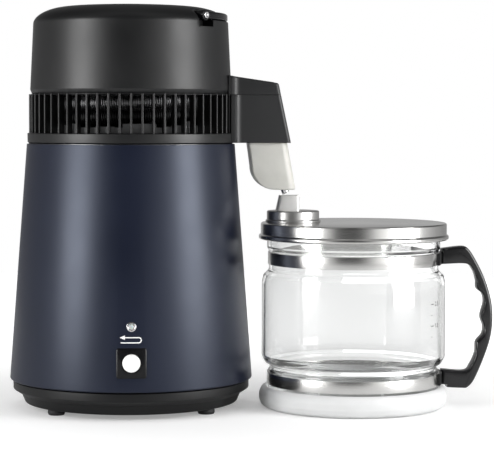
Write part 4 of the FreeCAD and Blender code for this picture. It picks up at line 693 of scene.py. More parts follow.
# %% [markdown]
# The grille is the head's waist: a ring that rests on the tank, fifty-eight upright bars, and a ring that
# carries the cap. Air is blown out between the bars. Each bar has a rounded front edge that catches the light
# as one fine line, so each is lofted with its own small radii and is not left as the square tooth that a cutter
# makes.

# %% Skirt, bars and rings of the grille
skirt_line = rounded([
    (93.8, 247.15, 0.2), (95, 247.15, 0.2), (96.8, 248.6, 0.3), (97, 257, 0.9), (87.6, 257.4), (87.6, 253.5),
    (84, 253.5, 0.5), (84, 251.5), (93.8, 251.5),
], True)
piece("vent_skirt", turned(skirt_line, closed=True, steps=240), "head", "black_satin_plastic", black_satin,
      "grille_housing")
top_ring_line = rounded([
    (95, 292.4, 0.3), (94.6, 293), (91.6, 293), (91.6, 299, 0.4), (84, 299, 0.4), (84, 295, 0.4),
    (88, 291, 0.4),
], True)
piece("vent_top_ring", turned(top_ring_line, closed=True, steps=240), "head", "black_satin_plastic",
      black_satin, "grille_housing")

BARS, SLOT, BAR_BACK, BAR_FRONT = 58, 8.3, 88, 95.4
bars = bmesh.new()
for number in range(BARS):
    angle = 2 * math.pi * (number + 0.5) / BARS
    out = Vector((math.cos(angle), math.sin(angle), 0))
    side = Vector((-out.y, out.x, 0))
    inner, outer = (math.pi * radius / BARS - SLOT / 2 for radius in (BAR_BACK, BAR_FRONT))
    flat = rounded([(BAR_BACK, -inner, 0.3), (BAR_FRONT, -outer, 0.8), (BAR_FRONT, outer, 0.8),
                    (BAR_BACK, inner, 0.3)], True)
    lofted([[MACHINE + out * r + side * w + Vector((0, 0, z)) for r, w in flat] for z in (256.8, 293)],
           into=bars)
piece("vent_bars", bars, "head", "black_satin_plastic", black_satin, "grille_housing")

# %% [markdown]
# Low behind the bars stands a grey baffle that keeps fingers from the coil. Its upper edge steps up and down,
# so the gaps between the bars don't all end at one height. A ring of small blocks with a few seeded heights
# gives this; a pattern in the material could tint the ring but not notch its edge.

# %% The stepped baffle behind the bars
BLOCKS, BAFFLE_INNER, BAFFLE_OUTER = 72, 84.4, 87.2
chance = random.Random(11)
baffle = bmesh.new()
for number in range(BLOCKS):
    top_edge = chance.choice((262.4, 263.2, 264.4, 265.8))
    turns = [math.radians((number + share) * 360 / BLOCKS) for share in (0, 0.33, 0.66, 1)]
    flat = [(BAFFLE_INNER, a) for a in turns] + [(BAFFLE_OUTER, a) for a in reversed(turns)]
    lofted([[around(MACHINE, r, a, z) for r, a in flat] for z in (257, top_edge)], into=baffle)
baffle_plastic = finish("baffle_plastic", (0.13, 0.131, 0.133), 0.5, drift=0.15, patch=12, relief=0.1, fine=0.6)
piece("vent_baffle", baffle, "head", "black_satin_plastic", baffle_plastic, "grille_housing")

# %% [markdown]
# The cap is the largest moulding. Its side leans in a little, then rounds over to a nearly flat crown. Along
# half of its rim a rebate holds the folded bail, with a deeper pocket at each pin. Cutting these steps with
# booleans would leave knife edges, so the cap is one grid: every column of points is a profile, and the
# profiles blend within half a degree where a pocket begins or ends.

# %% Profiles of the cap
CAP_FOOT, SEAM, BROW, SHOULDER, CAP_TOP = 94.4, 293, 358.4, 374.4, 376.8
CROWN_RADIUS, FRONT_PIN = 58, -41.0
REBATE_FLOOR, REBATE_WALL, POCKET_FLOOR = 360.6, 80, 354.7


def brow_point(share):
    """The rounded brow: share runs from 0 at the side to 1 at the crown."""
    angle = math.pi / 2 * share
    across, up = max(math.cos(angle), 0) ** 1.05, math.sin(angle) ** 1.05
    return (CROWN_RADIUS + 33.2 * across, BROW + (SHOULDER - BROW) * up)


def side_radius(height):
    """The cap's radius at a height below the brow."""
    return CAP_FOOT - (height - SEAM) * 3.2 / (BROW - SEAM)


def spaced(points, count):
    """The same line with points at even steps along it."""
    lengths = [0]
    for a, b in zip(points, points[1:]):
        lengths.append(lengths[-1] + (Vector(b) - Vector(a)).length)
    result = []
    place = 0
    for step in range(count):
        target = lengths[-1] * step / (count - 1)
        while place < len(points) - 2 and lengths[place + 1] < target:
            place += 1
        part = (target - lengths[place]) / max(lengths[place + 1] - lengths[place], 1e-9)
        result.append(Vector(points[place]).lerp(Vector(points[place + 1]), min(max(part, 0), 1)))
    return result


BROW_POINTS, WALL_POINTS = 40, 26
dome_share = next(s / 1000 for s in range(1000) if brow_point(s / 1000)[0] < REBATE_WALL)
dome_start = [brow_point(dome_share * s / 40) for s in range(41)]
dome_end = spaced([brow_point(dome_share + (1 - dome_share) * s / 60) for s in range(61)], BROW_POINTS)


def profile(floor):
    """Side and rim of the cap. Without a floor it is the plain rounded brow."""
    chamfer = rounded([(92.2, SEAM), (CAP_FOOT - 1.9, SEAM, 0.4), (side_radius(297.4), 297.4, 0.8),
                       (side_radius(300), 300)])
    foot = [(92.2, SEAM + 0.02), *chamfer[1:]]
    waist = (side_radius(340), 340)
    if floor is None:
        rim = spaced([waist, *dome_start], WALL_POINTS * 3)
    else:
        edge, top = side_radius(floor), brow_point(dome_share)[1]
        side = [waist, (side_radius(floor - 0.9), floor - 0.9)]
        ledge = rounded([(edge, floor - 0.9), (edge, floor, 0.8), (REBATE_WALL, floor, 0.8),
                         (REBATE_WALL, floor + 0.9)])
        wall = rounded([(REBATE_WALL, floor + 0.9), (REBATE_WALL, top, 0.7), (REBATE_WALL - 1.4, top + 0.25)])
        rim = [point for line in (side, ledge, wall) for point in spaced(line, WALL_POINTS)]
    crown = [(CROWN_RADIUS * (1 - s), SHOULDER + (CAP_TOP - SHOULDER) * (1 - (1 - s) ** 2))
             for s in (step / 6 for step in range(1, 7))]
    return [Vector(point) for point in (*foot, *rim, *dome_end[2:], *crown)]


PLAIN, REBATE, POCKET = profile(None), profile(REBATE_FLOOR), profile(POCKET_FLOOR)
print("each profile has", len(PLAIN), len(REBATE), len(POCKET), "points")

# %% [markdown]
# Now the profiles are set round the axis, one column of points each. A few columns stand close together where
# the pockets begin and end, so the steps come out crisp, and the plain parts stay light. The rebate's own ends
# lie inside the pockets. A second, simpler mesh closes the cap from inside.

# %% The cap's grid
POCKET_HALF, BLEND = 6.35, 0.35


def smooth_step(value):
    """An even S-shaped way from 0 to 1."""
    value = min(max(value, 0), 1)
    return value * value * (3 - 2 * value)


def profile_at(degrees):
    """The cap's profile at an angle, blended where a pocket begins or ends."""
    turn = (degrees - FRONT_PIN) % 360
    near_pin = min(turn, 360 - turn, abs(turn - 180))
    in_pocket = smooth_step((POCKET_HALF - near_pin) / BLEND + 0.5)
    in_rebate = 1.0 if turn < 180 else 0.0
    low = [a.lerp(b, in_rebate) for a, b in zip(PLAIN, REBATE)]
    return [a.lerp(b, in_pocket) for a, b in zip(low, POCKET)]


columns = [360 * step / 240 for step in range(240)]
for edge in (FRONT_PIN + pin + side * POCKET_HALF for pin in (0, 180) for side in (-1, 1)):
    columns = [c for c in columns if abs((c - edge + 180) % 360 - 180) > 0.7]
    columns += [(edge + BLEND * (step / 8 - 0.5) * 1.2) % 360 for step in range(9)]
columns.sort()
cap = bmesh.new()
grid = []
for degrees in columns:
    ring = [cap.verts.new(around(MACHINE, point.x, math.radians(degrees), point.y) * MM)
            for point in profile_at(degrees)[:-1]]
    ring.append(grid[0][-1] if grid else cap.verts.new(around(MACHINE, 0, 0, CAP_TOP) * MM))
    grid.append(ring)
skin(cap, [*grid, grid[0]], closed=False)
inner_line = [(92.2, SEAM + 0.02), (91.9, SEAM + 0.6), (88.9, 352), (77, 352.5), (76.5, 367.5), (57, 371.6),
              (0, 374)]
inner = turned(inner_line, steps=120)
piece("fan_cap", joined(cap, inner), "head", "black_satin_plastic", black_satin, "head_cap", crease=40)

# %% [markdown]
# The spout is a box that grows out of the cap and the grille. Where it meets the round body the two flow
# together in a small hollow curve, which takes its own strip of light. The box is wider near the root, by a
# quarter circle's law, and that makes the curve without any boolean. Its lower half is stacked from level
# layers.

# %% The spout's lower half
SPOUT_HALF, FLARE, SPOUT_START, LOW_ROOT, LIP = 22, 7, 93, 96.6, 0.25
SPOUT_FOOT, SPOUT_SEAM, HOOD_SEAM = 248.1, 292.92, 293.08


def spout_width_at(x, root):
    """Half width at a distance from the machine's axis, flared near the root."""
    gap = min(max((root + FLARE - x) / FLARE, 0), 1)
    return SPOUT_HALF + FLARE * (1 - math.sqrt(1 - gap * gap)) * 0.8


def seam_reach(z):
    """How far the leaning front face reaches at a height."""
    return 149.3 - 11.8 * (z - SPOUT_FOOT) / 56.0


def spout_layer(z, inset):
    """The lower half seen from above, drawn in by a small inset."""
    steps = [SPOUT_START + (LOW_ROOT + FLARE - SPOUT_START) * s / 10 for s in range(11)]
    front = [(x, inset - spout_width_at(x, LOW_ROOT)) for x in steps]
    far, half = seam_reach(z) - inset, SPOUT_HALF - inset
    start = LOW_ROOT + FLARE
    tip = rounded([(start, -half), (far, -half, 3.4), (far, half, 3.4), (start, half)], False, 5)
    return level(MACHINE, [*front, *tip[1:-1], *[(x, -y) for x, y in reversed(front)]], z)


rows = [(SPOUT_FOOT, LIP), (SPOUT_FOOT + LIP, 0)]
rows += [(SPOUT_FOOT + (SPOUT_SEAM - SPOUT_FOOT) * s / 8, 0) for s in range(1, 8)]
rows += [(SPOUT_SEAM - LIP, 0), (SPOUT_SEAM, LIP)]
hollow = [level(MACHINE, [(98.8, -19.5), (far, -19.5), (far, 19.5), (98.8, 19.5)], z)
          for z, far in ((z, seam_reach(z) - 2.5) for z in (247, 290))]
piece("spout_lower", carved(lofted([spout_layer(*row) for row in rows]), lofted(hollow)), "head",
      "black_satin_plastic", spout_satin, "grille_housing", crease=36)

# %% [markdown]
# The hood closes the spout from above. Its roof slopes down to the front, so here the sections stand upright,
# one behind the other. The last six lean like the front face and are pulled in along a quarter circle, which
# rounds its upright edges.

# %% The spout's hood
HOOD_ROOT, EDGE = 94.3, 3.2


def hood_top(x):
    """The roof slopes down from the cap to its front corner."""
    return 310.8 - (x - 91.9) * (310.8 - 304.1) / (137.5 - 91.9)


def hood_section(half, top, x_at):
    """An upright section. x_at gives its place along the spout for each height."""
    outline = oblong(-half, half, HOOD_SEAM, top, (0.2, 0.2, 1.6, 1.6))
    return [MACHINE + Vector((x_at(z), y, z)) for y, z in outline]


hood_sections = [hood_section(spout_width_at(x, HOOD_ROOT), hood_top(x), lambda z: x)
                 for x in (*[90.5 + 11.3 * s / 10 for s in range(11)], 108, 118, 126, 132)]
for turn in (math.pi / 2 * share / 5 for share in range(6)):
    fall, back = 1 - math.cos(turn), EDGE * (math.sin(turn) - 1)
    hood_sections.append(hood_section(SPOUT_HALF - EDGE * fall, 304.3 - 1.6 * fall,
                                      lambda z: seam_reach(z) + back))
piece("spout_hood", lofted(hood_sections), "head", "black_satin_plastic", spout_satin, "head_cap", crease=36)

# %% [markdown]
# The carry handle is a half ring that lies in the rebate and swings up on two steel pins. Its section is a
# rectangle with soft edges, and its ends swell into round lugs. A path with one section swept along it gives
# the bar, and turned discs give the lugs.

# %% The folding carry handle
BAIL_Z, BAIL_RADIUS = 364.7, 86.05
SWING = Matrix.Translation(MACHINE + Vector((0, 0, BAIL_Z))) @ turn_by(FRONT_PIN, "Z")
bail_section = oblong(-4.5, 4.5, -3.6, 3.6, 2.2, 5)
bail = moved(lofted([[around(ORIGIN, BAIL_RADIUS + across, math.pi * step / 120, up)
                      for across, up in bail_section] for step in range(121)]), SWING)


def lug(side):
    """A bored disc at one end of the bail."""
    line = oblong(2.56, 5, -4.5, 4.5, (0.2, 0.8, 0.8, 0.2))
    place = Matrix.Translation((side * BAIL_RADIUS, 0, 0)) @ turn_by(90, "Y")
    return moved(turned(line, ORIGIN, closed=True, steps=64), SWING @ place)


pin_bore = turned([(0, -100), (2.55, -100), (2.55, 100), (0, 100)], ORIGIN, steps=48)
bail = carved(bail, moved(pin_bore, SWING @ turn_by(90, "Y")))
piece("carry_bail", joined(bail, lug(1), lug(-1)), "bail", "black_gloss_plastic", black_gloss, "carry_handle")

# %% [markdown]
# The two pins are bright steel pegs pressed into the cap. A small hollow in the head makes a ring of light, by
# which the eye tells a turned pin from a painted dot. One outline is turned twice, once for each side.

# %% The pins
pin_line = rounded([(0, 0.35), (1.2, 0.35, 0.2), (1.6, 1, 0.3), (2.9, 1, 0.4), (3.2, 0, 0.2), (2.5, 0),
                    (2.5, -16.5, 0.5), (0, -16.5)])
ends = [SWING @ turn_by(end, "Z") @ Matrix.Translation((90.65, 0, 0)) @ turn_by(90, "Y") for end in (0, 180)]
pins = [moved(turned(pin_line, ORIGIN, steps=48), end) for end in ends]
piece("bail_pins", joined(*pins), "head", "polished_steel", bright_steel, "handle_pins")

# %% [markdown]
# A flat moulding such as the jug's handle is a stack too: its side outline in layers, each pulled in a little
# near the two faces. Blender's bevel would do the same on a plain extrusion, but it fails where a curve is
# tighter than the bevel.

# %% Pillow a side outline
def pulled_in(outline, inset):
    """The closed outline moved inwards by a small distance."""
    result = []
    count = len(outline)
    for number in range(count):
        before, here, after = (Vector(outline[(number + k) % count]) for k in (-1, 0, 1))
        a, b = (here - before).normalized(), (after - here).normalized()
        normal = Vector((-(a + b).y, (a + b).x)).normalized()
        slant = max(normal.dot(Vector((-a.y, a.x))), 0.5)
        result.append(here + normal * inset / slant)
    return result


def pillow(outline, half, edge, middle, steps=5):
    """A flat moulding from a side outline (counter-clockwise) with rounded long edges."""
    layers = []
    bend = [math.pi / 2 * s / steps for s in range(steps + 1)]
    for y, inset in ([(-half + edge * (1 - math.cos(a)), edge * (1 - math.sin(a))) for a in bend]
                     + [(half - edge * (1 - math.cos(a)), edge * (1 - math.sin(a))) for a in reversed(bend)]):
        layers.append([middle + Vector((p.x, y, p.y)) for p in pulled_in(outline, inset)])
    return lofted(layers)


def counter_clockwise(outline):
    """The same closed outline, turned round if it runs clockwise."""
    area = sum(Vector(a).cross(Vector(b)) for a, b in zip(outline, [*outline[1:], outline[0]]))
    return outline if area > 0 else list(reversed(outline))


print("a 9 mm square pulled in by 1 mm:", [tuple(p) for p in pulled_in([(0, 0), (9, 0), (9, 9), (0, 9)], 1)])

# %% [markdown]
# Under the spout hangs a milky cup that holds the charcoal bag. It is a flat-sided moulding with a round heel
# and a blunt nose. Level layers, outside from below and inside from above, make it with its wall; a Solidify
# modifier could cross itself at the small corners. A short steel tube drips from its foot.

# %% The cup and its tip
CUP_LOW, CUP_TOP, HEEL_X, HEEL_Z = 204.1, 256.1, 134.5, 226.1


def cup_layer(height, wall, inset=0):
    """The cup seen from above at a height: a blunt nose on the right and smaller corners on the left."""
    drop = max(HEEL_Z - height, 0)
    left = HEEL_X - math.sqrt(max((22 - wall) ** 2 - drop ** 2, 0)) - max(height - HEEL_Z, 0) * 0.133 + inset
    right = 154.3 - (height - CUP_LOW) * 0.18 - wall - inset
    half = 19.3 - wall - inset
    nose, corner = max(7.5 - wall, 1), max(2.0 - wall, 0.6)
    return level(MACHINE, oblong(left, right, -half, half, (corner, nose, nose, corner), 8), height)


outer_layers = [cup_layer(CUP_LOW + 1.6 * (1 - math.cos(a)), 0, 1.6 * (1 - math.sin(a)))
                for a in (math.pi / 2 * s / 5 for s in range(5))]
outer_layers += [cup_layer(HEEL_Z - 22 * math.cos(math.radians(a)), 0) for a in range(24, 91, 6)]
outer_layers += [cup_layer(z, 0) for z in (236, 246, CUP_TOP)]
inner_layers = [cup_layer(z, 1.8) for z in (CUP_TOP, 246, 236)]
inner_layers += [cup_layer(HEEL_Z - 20.2 * math.cos(math.radians(a)), 1.8) for a in range(90, 5, -6)]
piece("carbon_cup", lofted([*outer_layers, *inner_layers]), "head", "frosted_plastic", frosted, "nozzle_cup")
tip_line = rounded([(2.3, 0.1, 0.2), (2.9, 0, 0.3), (3.4, 0.5, 0.3), (3.4, 8.6), (2.3, 8.6)], True)
tip_lean = Matrix.Translation(MACHINE + Vector((146.2, 0, 200.4))) @ turn_by(-24, "Y")
tip = moved(turned(tip_line, ORIGIN, closed=True, steps=48), tip_lean)
piece("drip_tip", tip, "head", "polished_steel", bright_steel, "nozzle_tip")

# %% [markdown]
# Behind the bars the steam cools in a coil of steel tube, threaded through thin aluminium fins. Only glints of
# them reach the eye, and those glints are what makes a dark grille look deep. The fins are true discs on the
# coil's own path, closer together than in the solid model, each tilted to stay square to the tube.

# %% The condenser coil and its fins
COIL_RADIUS, COIL_LOW, COIL_PITCH, COIL_TURNS = 70, 263, 13, 2


def coil_frame(angle):
    """Middle, outward and upward directions on the coil at an angle in radians."""
    ray = Vector((math.cos(angle), math.sin(angle), 0))
    along = Vector((-ray.y, ray.x, COIL_PITCH / (2 * math.pi * COIL_RADIUS))).normalized()
    middle = MACHINE + ray * COIL_RADIUS + Vector((0, 0, COIL_LOW + COIL_PITCH * angle / (2 * math.pi)))
    return middle, ray, along.cross(-ray).normalized(), along


tube_rings = []
for step in range(COIL_TURNS * 120 + 1):
    middle, ray, up, _ = coil_frame(2 * math.pi * step / 120)
    tube_rings.append([middle + (ray * math.cos(t) + up * math.sin(t)) * 4.5
                       for t in (2 * math.pi * k / 20 for k in range(20))])
piece("coil_tube", lofted(tube_rings), "head", "brushed_steel", coil_steel, "condenser_coil")

FIN_STEP = 1.6
fins = bmesh.new()
for number in range(9, int(360 * COIL_TURNS / FIN_STEP) - 8):
    middle, ray, up, along = coil_frame(math.radians(number * FIN_STEP))
    corners = [(math.cos(t), math.sin(t)) for t in (2 * math.pi * (k + 0.5) / 12 for k in range(12))]
    rows = [(4.52, -0.4), (6.3, -0.4), (6.3, 0.4), (4.52, 0.4)]
    rings = [[fins.verts.new((middle + (ray * x + up * y) * r + along * d) * MM) for x, y in corners]
             for r, d in rows]
    skin(fins, [*rings, rings[0]])
piece("coil_fins", fins, "head", "aluminium", fin_metal, "condenser_fins")

# %% [markdown]
# The fan hangs from the cap on a motor. Its seven blades are thin and twisted: steep at the hub, where they
# move slowly, and flatter at the tip. A flat tilted plate would stir the air but not look like a fan.

# %% The fan
FAN_MIDDLE, BLADES = 286, 7


def blade_mesh(turn):
    """One twisted blade from the hub outwards, as a loft of thin curved sections."""
    sections = []
    for step in range(9):
        radius = 12.0 + 31.9 * step / 8
        pitch = math.radians(42 - 18 * step / 8)
        chord = 8.0 + 0.6 * math.sin(math.pi * step / 8)
        outline = []
        for side in (1, -1):
            for k in range(7):
                t = (k / 6 * 2 - 1) * side
                across = chord * t
                lift = 1.1 * (1 - t * t) + (0.75 * (1 - t ** 4) + 0.12) * side * 0.5
                outline.append(Vector((radius, across * math.cos(pitch) - lift * math.sin(pitch),
                                       across * math.sin(pitch) + lift * math.cos(pitch))))
        sections.append([MACHINE + Vector((0, 0, FAN_MIDDLE)) + Matrix.Rotation(turn, 3, "Z") @ p
                         for p in outline])
    return lofted(sections)


hub_line = rounded([(2.6, 277), (12, 277, 2.5), (13, 295, 0.8), (2.6, 295)], True)
hub = turned(hub_line, closed=True, steps=64)
fan_blades = [blade_mesh(2 * math.pi * k / BLADES) for k in range(BLADES)]
piece("fan_wheel", joined(hub, *fan_blades), "fan", "white_plastic", black_satin, "fan_rotor")

motor_line = rounded([
    (2.6, 301), (11, 301, 0.4), (11.5, 301.6), (28, 301.6), (30, 301.6, 1.5), (30, 306, 0.4),
    (29.4, 306.6, 0.3), (29.4, 322, 0.3), (30, 322.6, 0.4), (30, 328, 1.5), (12, 328, 0.5), (11, 327, 0.5),
    (0, 327), (0, 324.1), (2.6, 324.1),
])
piece("motor_can", turned(motor_line, steps=96), "head", "black_satin_plastic", black_satin, "fan_motor")
set_screws("motor_screw_set", ring_places(22, 0, 299, True), (2.7, 2, 1.5, 9), "head", "motor_screws")
set_screws("head_screw_set", ring_places(87.6, 45, 295, True), (2.6, 2, 1.6, 17), "head", "head_screws")

# %% [markdown]
# A round socket at the back of the cap takes the fan's lead. The remaining inner parts keep the shapes of the
# solid model, which are true to the real ones, and only get their finishes here.

# %% The cap's socket and the parts that keep their solid shape
cap_back = Matrix.Translation(MACHINE + Vector((0, side_radius(312.1), 320.1))) @ turn_by(180, "Z")
round_socket("fan_lead_socket", cap_back, 12, "head", "head_power_inlet")

kept = {
    "heater_plate": aluminium, "heating_element": base_steel, "insulation_wrap": felt,
    "boil_thermostat": base_steel, "thermal_fuse": white_plastic, "terminal_block": white_plastic,
    "reset_switch": black_satin, "indicator_nut": base_steel, "tank_seal": silicone,
    "condenser_base": base_steel, "steam_riser": base_steel, "outlet_pipe": base_steel,
    "motor_bracket": base_steel, "charcoal_filter": charcoal, "fan_shaft": bright_steel, "lid_seal": silicone,
}
for name, material in kept.items():
    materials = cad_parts[name].data.materials
    materials.clear()
    materials.append(material)
print("kept with a new finish:", len(kept))

# %% [markdown]
# The jug is blown glass of even thickness. Outside and inside are one outline, from the axis and back to it,
# because glass only refracts rightly when light passes through two true surfaces. The inner line follows the
# outer one at the wall's thickness, with corner radii of its own.

# %% The glass jug
GLASS_RADIUS = 86.4
glass_line = rounded([
    (0, 5), (80.4, 5, 3), (80.4, 34.5, 1.6), (77.8, 38.8, 2.4), (83.4, 42.4, 3), (GLASS_RADIUS, 48.5, 5),
    (GLASS_RADIUS, 117.6, 6), (84.8, 124.4, 4), (79.7, 129.2, 3.5), (79.7, 146.8, 2), (81.3, 150.2, 1.4),
    (81.3, 167, 0.9), (78.7, 167, 0.9), (78.7, 151.2, 2), (77.1, 147.6, 2), (77.1, 128.4, 4),
    (82.4, 123.6, 3), (83.8, 117.2, 5), (83.8, 49, 4), (81.3, 44.6, 3), (75.2, 39.3, 3), (77.8, 34.3, 2),
    (77.8, 7.6, 2.6), (0, 7.6),
], False, 6)
piece("jug_body", turned(glass_line, JUG, steps=240), "jug", "clear_glass", glass, "jug_glass", crease=60)

# %% [markdown]
# The base pad is soft silicone with round edges. The two steel bands are thin straps with soft edges. Their
# polished faces are plain cylinders, so all that the eye sees of them is what they reflect, and the finest
# ripple would look wrong: many steps round the turn keep them true.

# %% The base pad and the bands
pad_line = rounded([
    (0, 0), (82.6, 0, 4), (87, 2.6, 5), (88.6, 7.5, 5), (88.6, 13.4, 5), (86.6, 18, 4),
    (83.6, 20, 2.5), (80.9, 20, 0.8), (80.9, 5, 1), (0, 5),
])
piece("jug_pad", turned(pad_line, JUG, steps=240), "jug", "white_silicone", silicone, "jug_base_pad")


def band(name, radius, low, height, lean, node):
    """A strap. lean is how far its upper edge stands in, as a strap pulled round a tapering foot does."""
    line = rounded([(radius, low, 0.2), (radius + 0.8, low, 0.3), (radius + 0.8 - lean, low + height, 0.3),
                    (radius - lean, low + height, 0.2)], True)
    return piece(name, turned(line, JUG, closed=True, steps=360), "jug", "polished_steel", lid_steel, node)


FOOT_BAND, NECK_BAND = (22, 11.2), (134.5, 11.4)
band("foot_strap", 80.75, *FOOT_BAND, 0.3, "jug_lower_band")
band("neck_strap", 79.75, *NECK_BAND, 0, "jug_upper_band")

# %% [markdown]
# Black brackets grip the bands and carry the handle on a tongue. Each is a short piece of a turned ring, which
# fits its band exactly, with a small rounded bar joined on. A bent box would need fitting by eye.

# %% The handle's brackets
brackets = []
for radius, (low, height) in ((81.65, FOOT_BAND), (80.65, NECK_BAND)):
    line = oblong(radius, radius + 2, low, low + height, (0.3, 0.6, 0.6, 0.3))
    brackets.append(turned(line, JUG, closed=True, steps=40, start=-20, sweep=40))
    tongue = oblong(-1, 1, low + height / 2 - 3.5, low + height / 2 + 3.5, 0.3)
    brackets.append(lofted([[JUG + Vector((x, y, z)) for y, z in tongue] for x in (radius + 1, radius + 16)]))
piece("handle_brackets", joined(*brackets), "jug", "black_satin_plastic", black_satin, "band_brackets")

# %% [markdown]
# The handle is a curved moulding with waves for the fingers. Its side outline is a smooth closed curve through
# a few points, and the pillow stack rounds its edges. The points are shares of the handle's depth and of the
# distance between the bands, so the waves would keep their places if the bands moved.

# %% The handle and its screws
def through(points, steps=6):
    """A smooth open curve through points (a Catmull-Rom spline)."""
    points = [Vector(p) for p in points]
    padded = [points[0] * 2 - points[1], *points, points[-1] * 2 - points[-2]]
    line = []
    for p0, p1, p2, p3 in zip(padded, padded[1:], padded[2:], padded[3:]):
        for step in range(steps):
            t = step / steps
            line.append(0.5 * ((2 * p1) + (p2 - p0) * t + (2 * p0 - 5 * p1 + 4 * p2 - p3) * t * t
                               + (3 * p1 - p0 - 3 * p2 + p3) * t ** 3))
    line.append(points[-1])
    return line


LOW_SCREW, TOP_SCREW = 27.6, 140.2
screw_spots = [(91.35, LOW_SCREW), (90.65, TOP_SCREW)]


def grip_point(inward, up):
    """A point of the handle: shares of its depth and of the way between the bands' middles."""
    return (131.8 - 45.4 * inward, LOW_SCREW + (TOP_SCREW - LOW_SCREW) * up)


outside = [(0.667, 1.097), (0.531, 1.08), (0.381, 0.995), (0.176, 0.83), (0.04, 0.655), (0, 0.495),
           (0.04, 0.332), (0.176, 0.159), (0.381, -0.03), (0.515, -0.09), (0.617, -0.097)]
finger_side = [(0.581, 0.05), (0.447, 0.103), (0.344, 0.197), (0.328, 0.291), (0.2, 0.358), (0.181, 0.427),
               (0.24, 0.508), (0.174, 0.621), (0.207, 0.695), (0.328, 0.743), (0.344, 0.816), (0.412, 0.897),
               (0.566, 0.951)]
top_root, low_root = 82.75, 83.75
outer_curve = through([(top_root, grip_point(0, 1.078)[1]), *[grip_point(*p) for p in outside],
                       (low_root, grip_point(0, -0.088)[1])])
inner_curve = through([(low_root, grip_point(0, 0.062)[1]), *[grip_point(*p) for p in finger_side],
                       (top_root, grip_point(0, 0.947)[1])])
grip_side = counter_clockwise([*outer_curve, *inner_curve])
grip = pillow(grip_side, 7.5, 2.6, JUG)
pad_room = turned([(0, -1), (89.1, -1), (89.1, 20.5), (0, 20.5)], JUG)
sinks = [moved(plug([(0, 4.8), (3, 4.8), (3, 9), (0, 9)]), Matrix.Translation(JUG + Vector((x, 0, z))))
         for x, z in screw_spots]
piece("jug_grip", carved(grip, pad_room, *sinks), "jug", "black_satin_plastic", grip_black, "jug_handle")
grip_screws = [Matrix.Translation(JUG + Vector((x, 5.4, z))) @ turn_by(-90, "X") for x, z in screw_spots]
set_screws("grip_screws", grip_screws, (2.8, 1.9, 1.6, 9), "jug", "band_screws")

# %% [markdown]
# The lid is a steel pressing with a rolled bead round its lower edge. A turned outline of the thin sheet gives
# the flat top, the bead and the open underside in one; only the water hole is off the axis and has to be cut.

# %% The lid
LID_TOP, INLET_TOP = 173.4, 184.0
lid_line = rounded([
    (0, LID_TOP), (87.4, LID_TOP, 1.6), (87.4, 163, 0.5), (89.2, 161.6, 1.4), (89.2, 158.9, 1.4),
    (87.5, 157.7, 0.8), (86.6, 158.9, 0.4), (86.6, 172.6, 0.8), (0, 172.6),
])
water_hole = turned([(0, 170), (9.5, 170), (9.5, 176), (0, 176)], MACHINE + Vector((149.25, 0, 0)), steps=64)
piece("lid_pressing", carved(turned(lid_line, JUG, steps=360), water_hole), "lid", "polished_steel", lid_steel,
      "jug_lid")

# %% [markdown]
# The inlet on the lid is a smaller pressing with a foot bead, and a squeezed tube stands on it under the
# nozzle. Seven rounded rectangles, up the outside, over the lip and down the inside, make the tube with its
# wall. A solidified sheet would do too, but its lip would be flat.

# %% The inlet on the lid
inlet_line = rounded([
    (23.9, LID_TOP), (26.1, LID_TOP + 0.02, 0.3), (26.1, 175, 0.9), (24.8, 175.8, 0.5), (24.8, INLET_TOP, 1.3),
    (0, INLET_TOP), (0, 183.2), (23.9, 183.2, 0.8),
])


def mouth_section(left, right, half, z, corner):
    """A level section of the mouth, left and right of the inlet's axis."""
    return level(INLET, oblong(left, right, -half, half, corner, 6), z)


slot_cut = lofted([mouth_section(-15.5, 4.9, 7.2, z, 2) for z in (181, 186)])
piece("inlet_pressing", carved(turned(inlet_line, INLET, steps=128), slot_cut), "lid", "polished_steel",
      inlet_steel, "inlet_cap")
mouth_rings = [mouth_section(*row) for row in (
    (-16.3, 5.7, 8, INLET_TOP, 2.8), (-16.2, 5.7, 8, 184.6, 2.8), (-13.2, 5.7, 8, 198.2, 2.8),
    (-13.1, 5.5, 7.8, 198.5, 2.6), (-12.5, 5, 7.3, 198.5, 2.1), (-12.4, 4.9, 7.2, 198.2, 2),
    (-15.5, 4.9, 7.2, INLET_TOP, 2))]
piece("inlet_mouth", lofted([*mouth_rings, mouth_rings[0]], capped=False), "lid", "polished_steel", satin_steel,
      "inlet_funnel")

# %% [markdown]
# Short scale lines with plain numbers show litres and half litres on the glass, in a faint grey print. They are
# made like the arrow, drawn flat and wrapped round the jug. A text object gives the digits, so no digit has to
# be drawn by hand.

# %% The scale on the glass
def on_jug(height, degrees, proud=0.05):
    """Wraps a drawing on the glass, round a point at a height and an angle."""
    def wrap(across, up):
        radius = GLASS_RADIUS + proud
        return around(JUG, radius, across / radius + math.radians(degrees - 90), height + up)
    return wrap


def number_mesh(text, size, wrap):
    """Plain digits as a flat mesh, wrapped on a surface."""
    curve = bpy.data.curves.new("digits", "FONT")
    curve.body = text
    curve.size = size
    curve.offset = 0.12
    curve.align_x = "CENTER"
    curve.align_y = "CENTER"
    made = bpy.data.objects.new("digits", curve)
    scene.collection.objects.link(made)
    mesh = bpy.data.meshes.new_from_object(made)
    bm = bmesh.new()
    bm.from_mesh(mesh)
    bpy.data.objects.remove(made)
    bpy.data.meshes.remove(mesh)
    for vertex in bm.verts:
        vertex.co = wrap(vertex.co.x, vertex.co.y) * MM
    return bm


def dash(right, half, height):
    """A printed line from the scale's left end to right. half is half its thickness."""
    return printed([[(-7, -half), (right, -half), (right, half), (-7, half)]], on_jug(height, SCALE_AT))


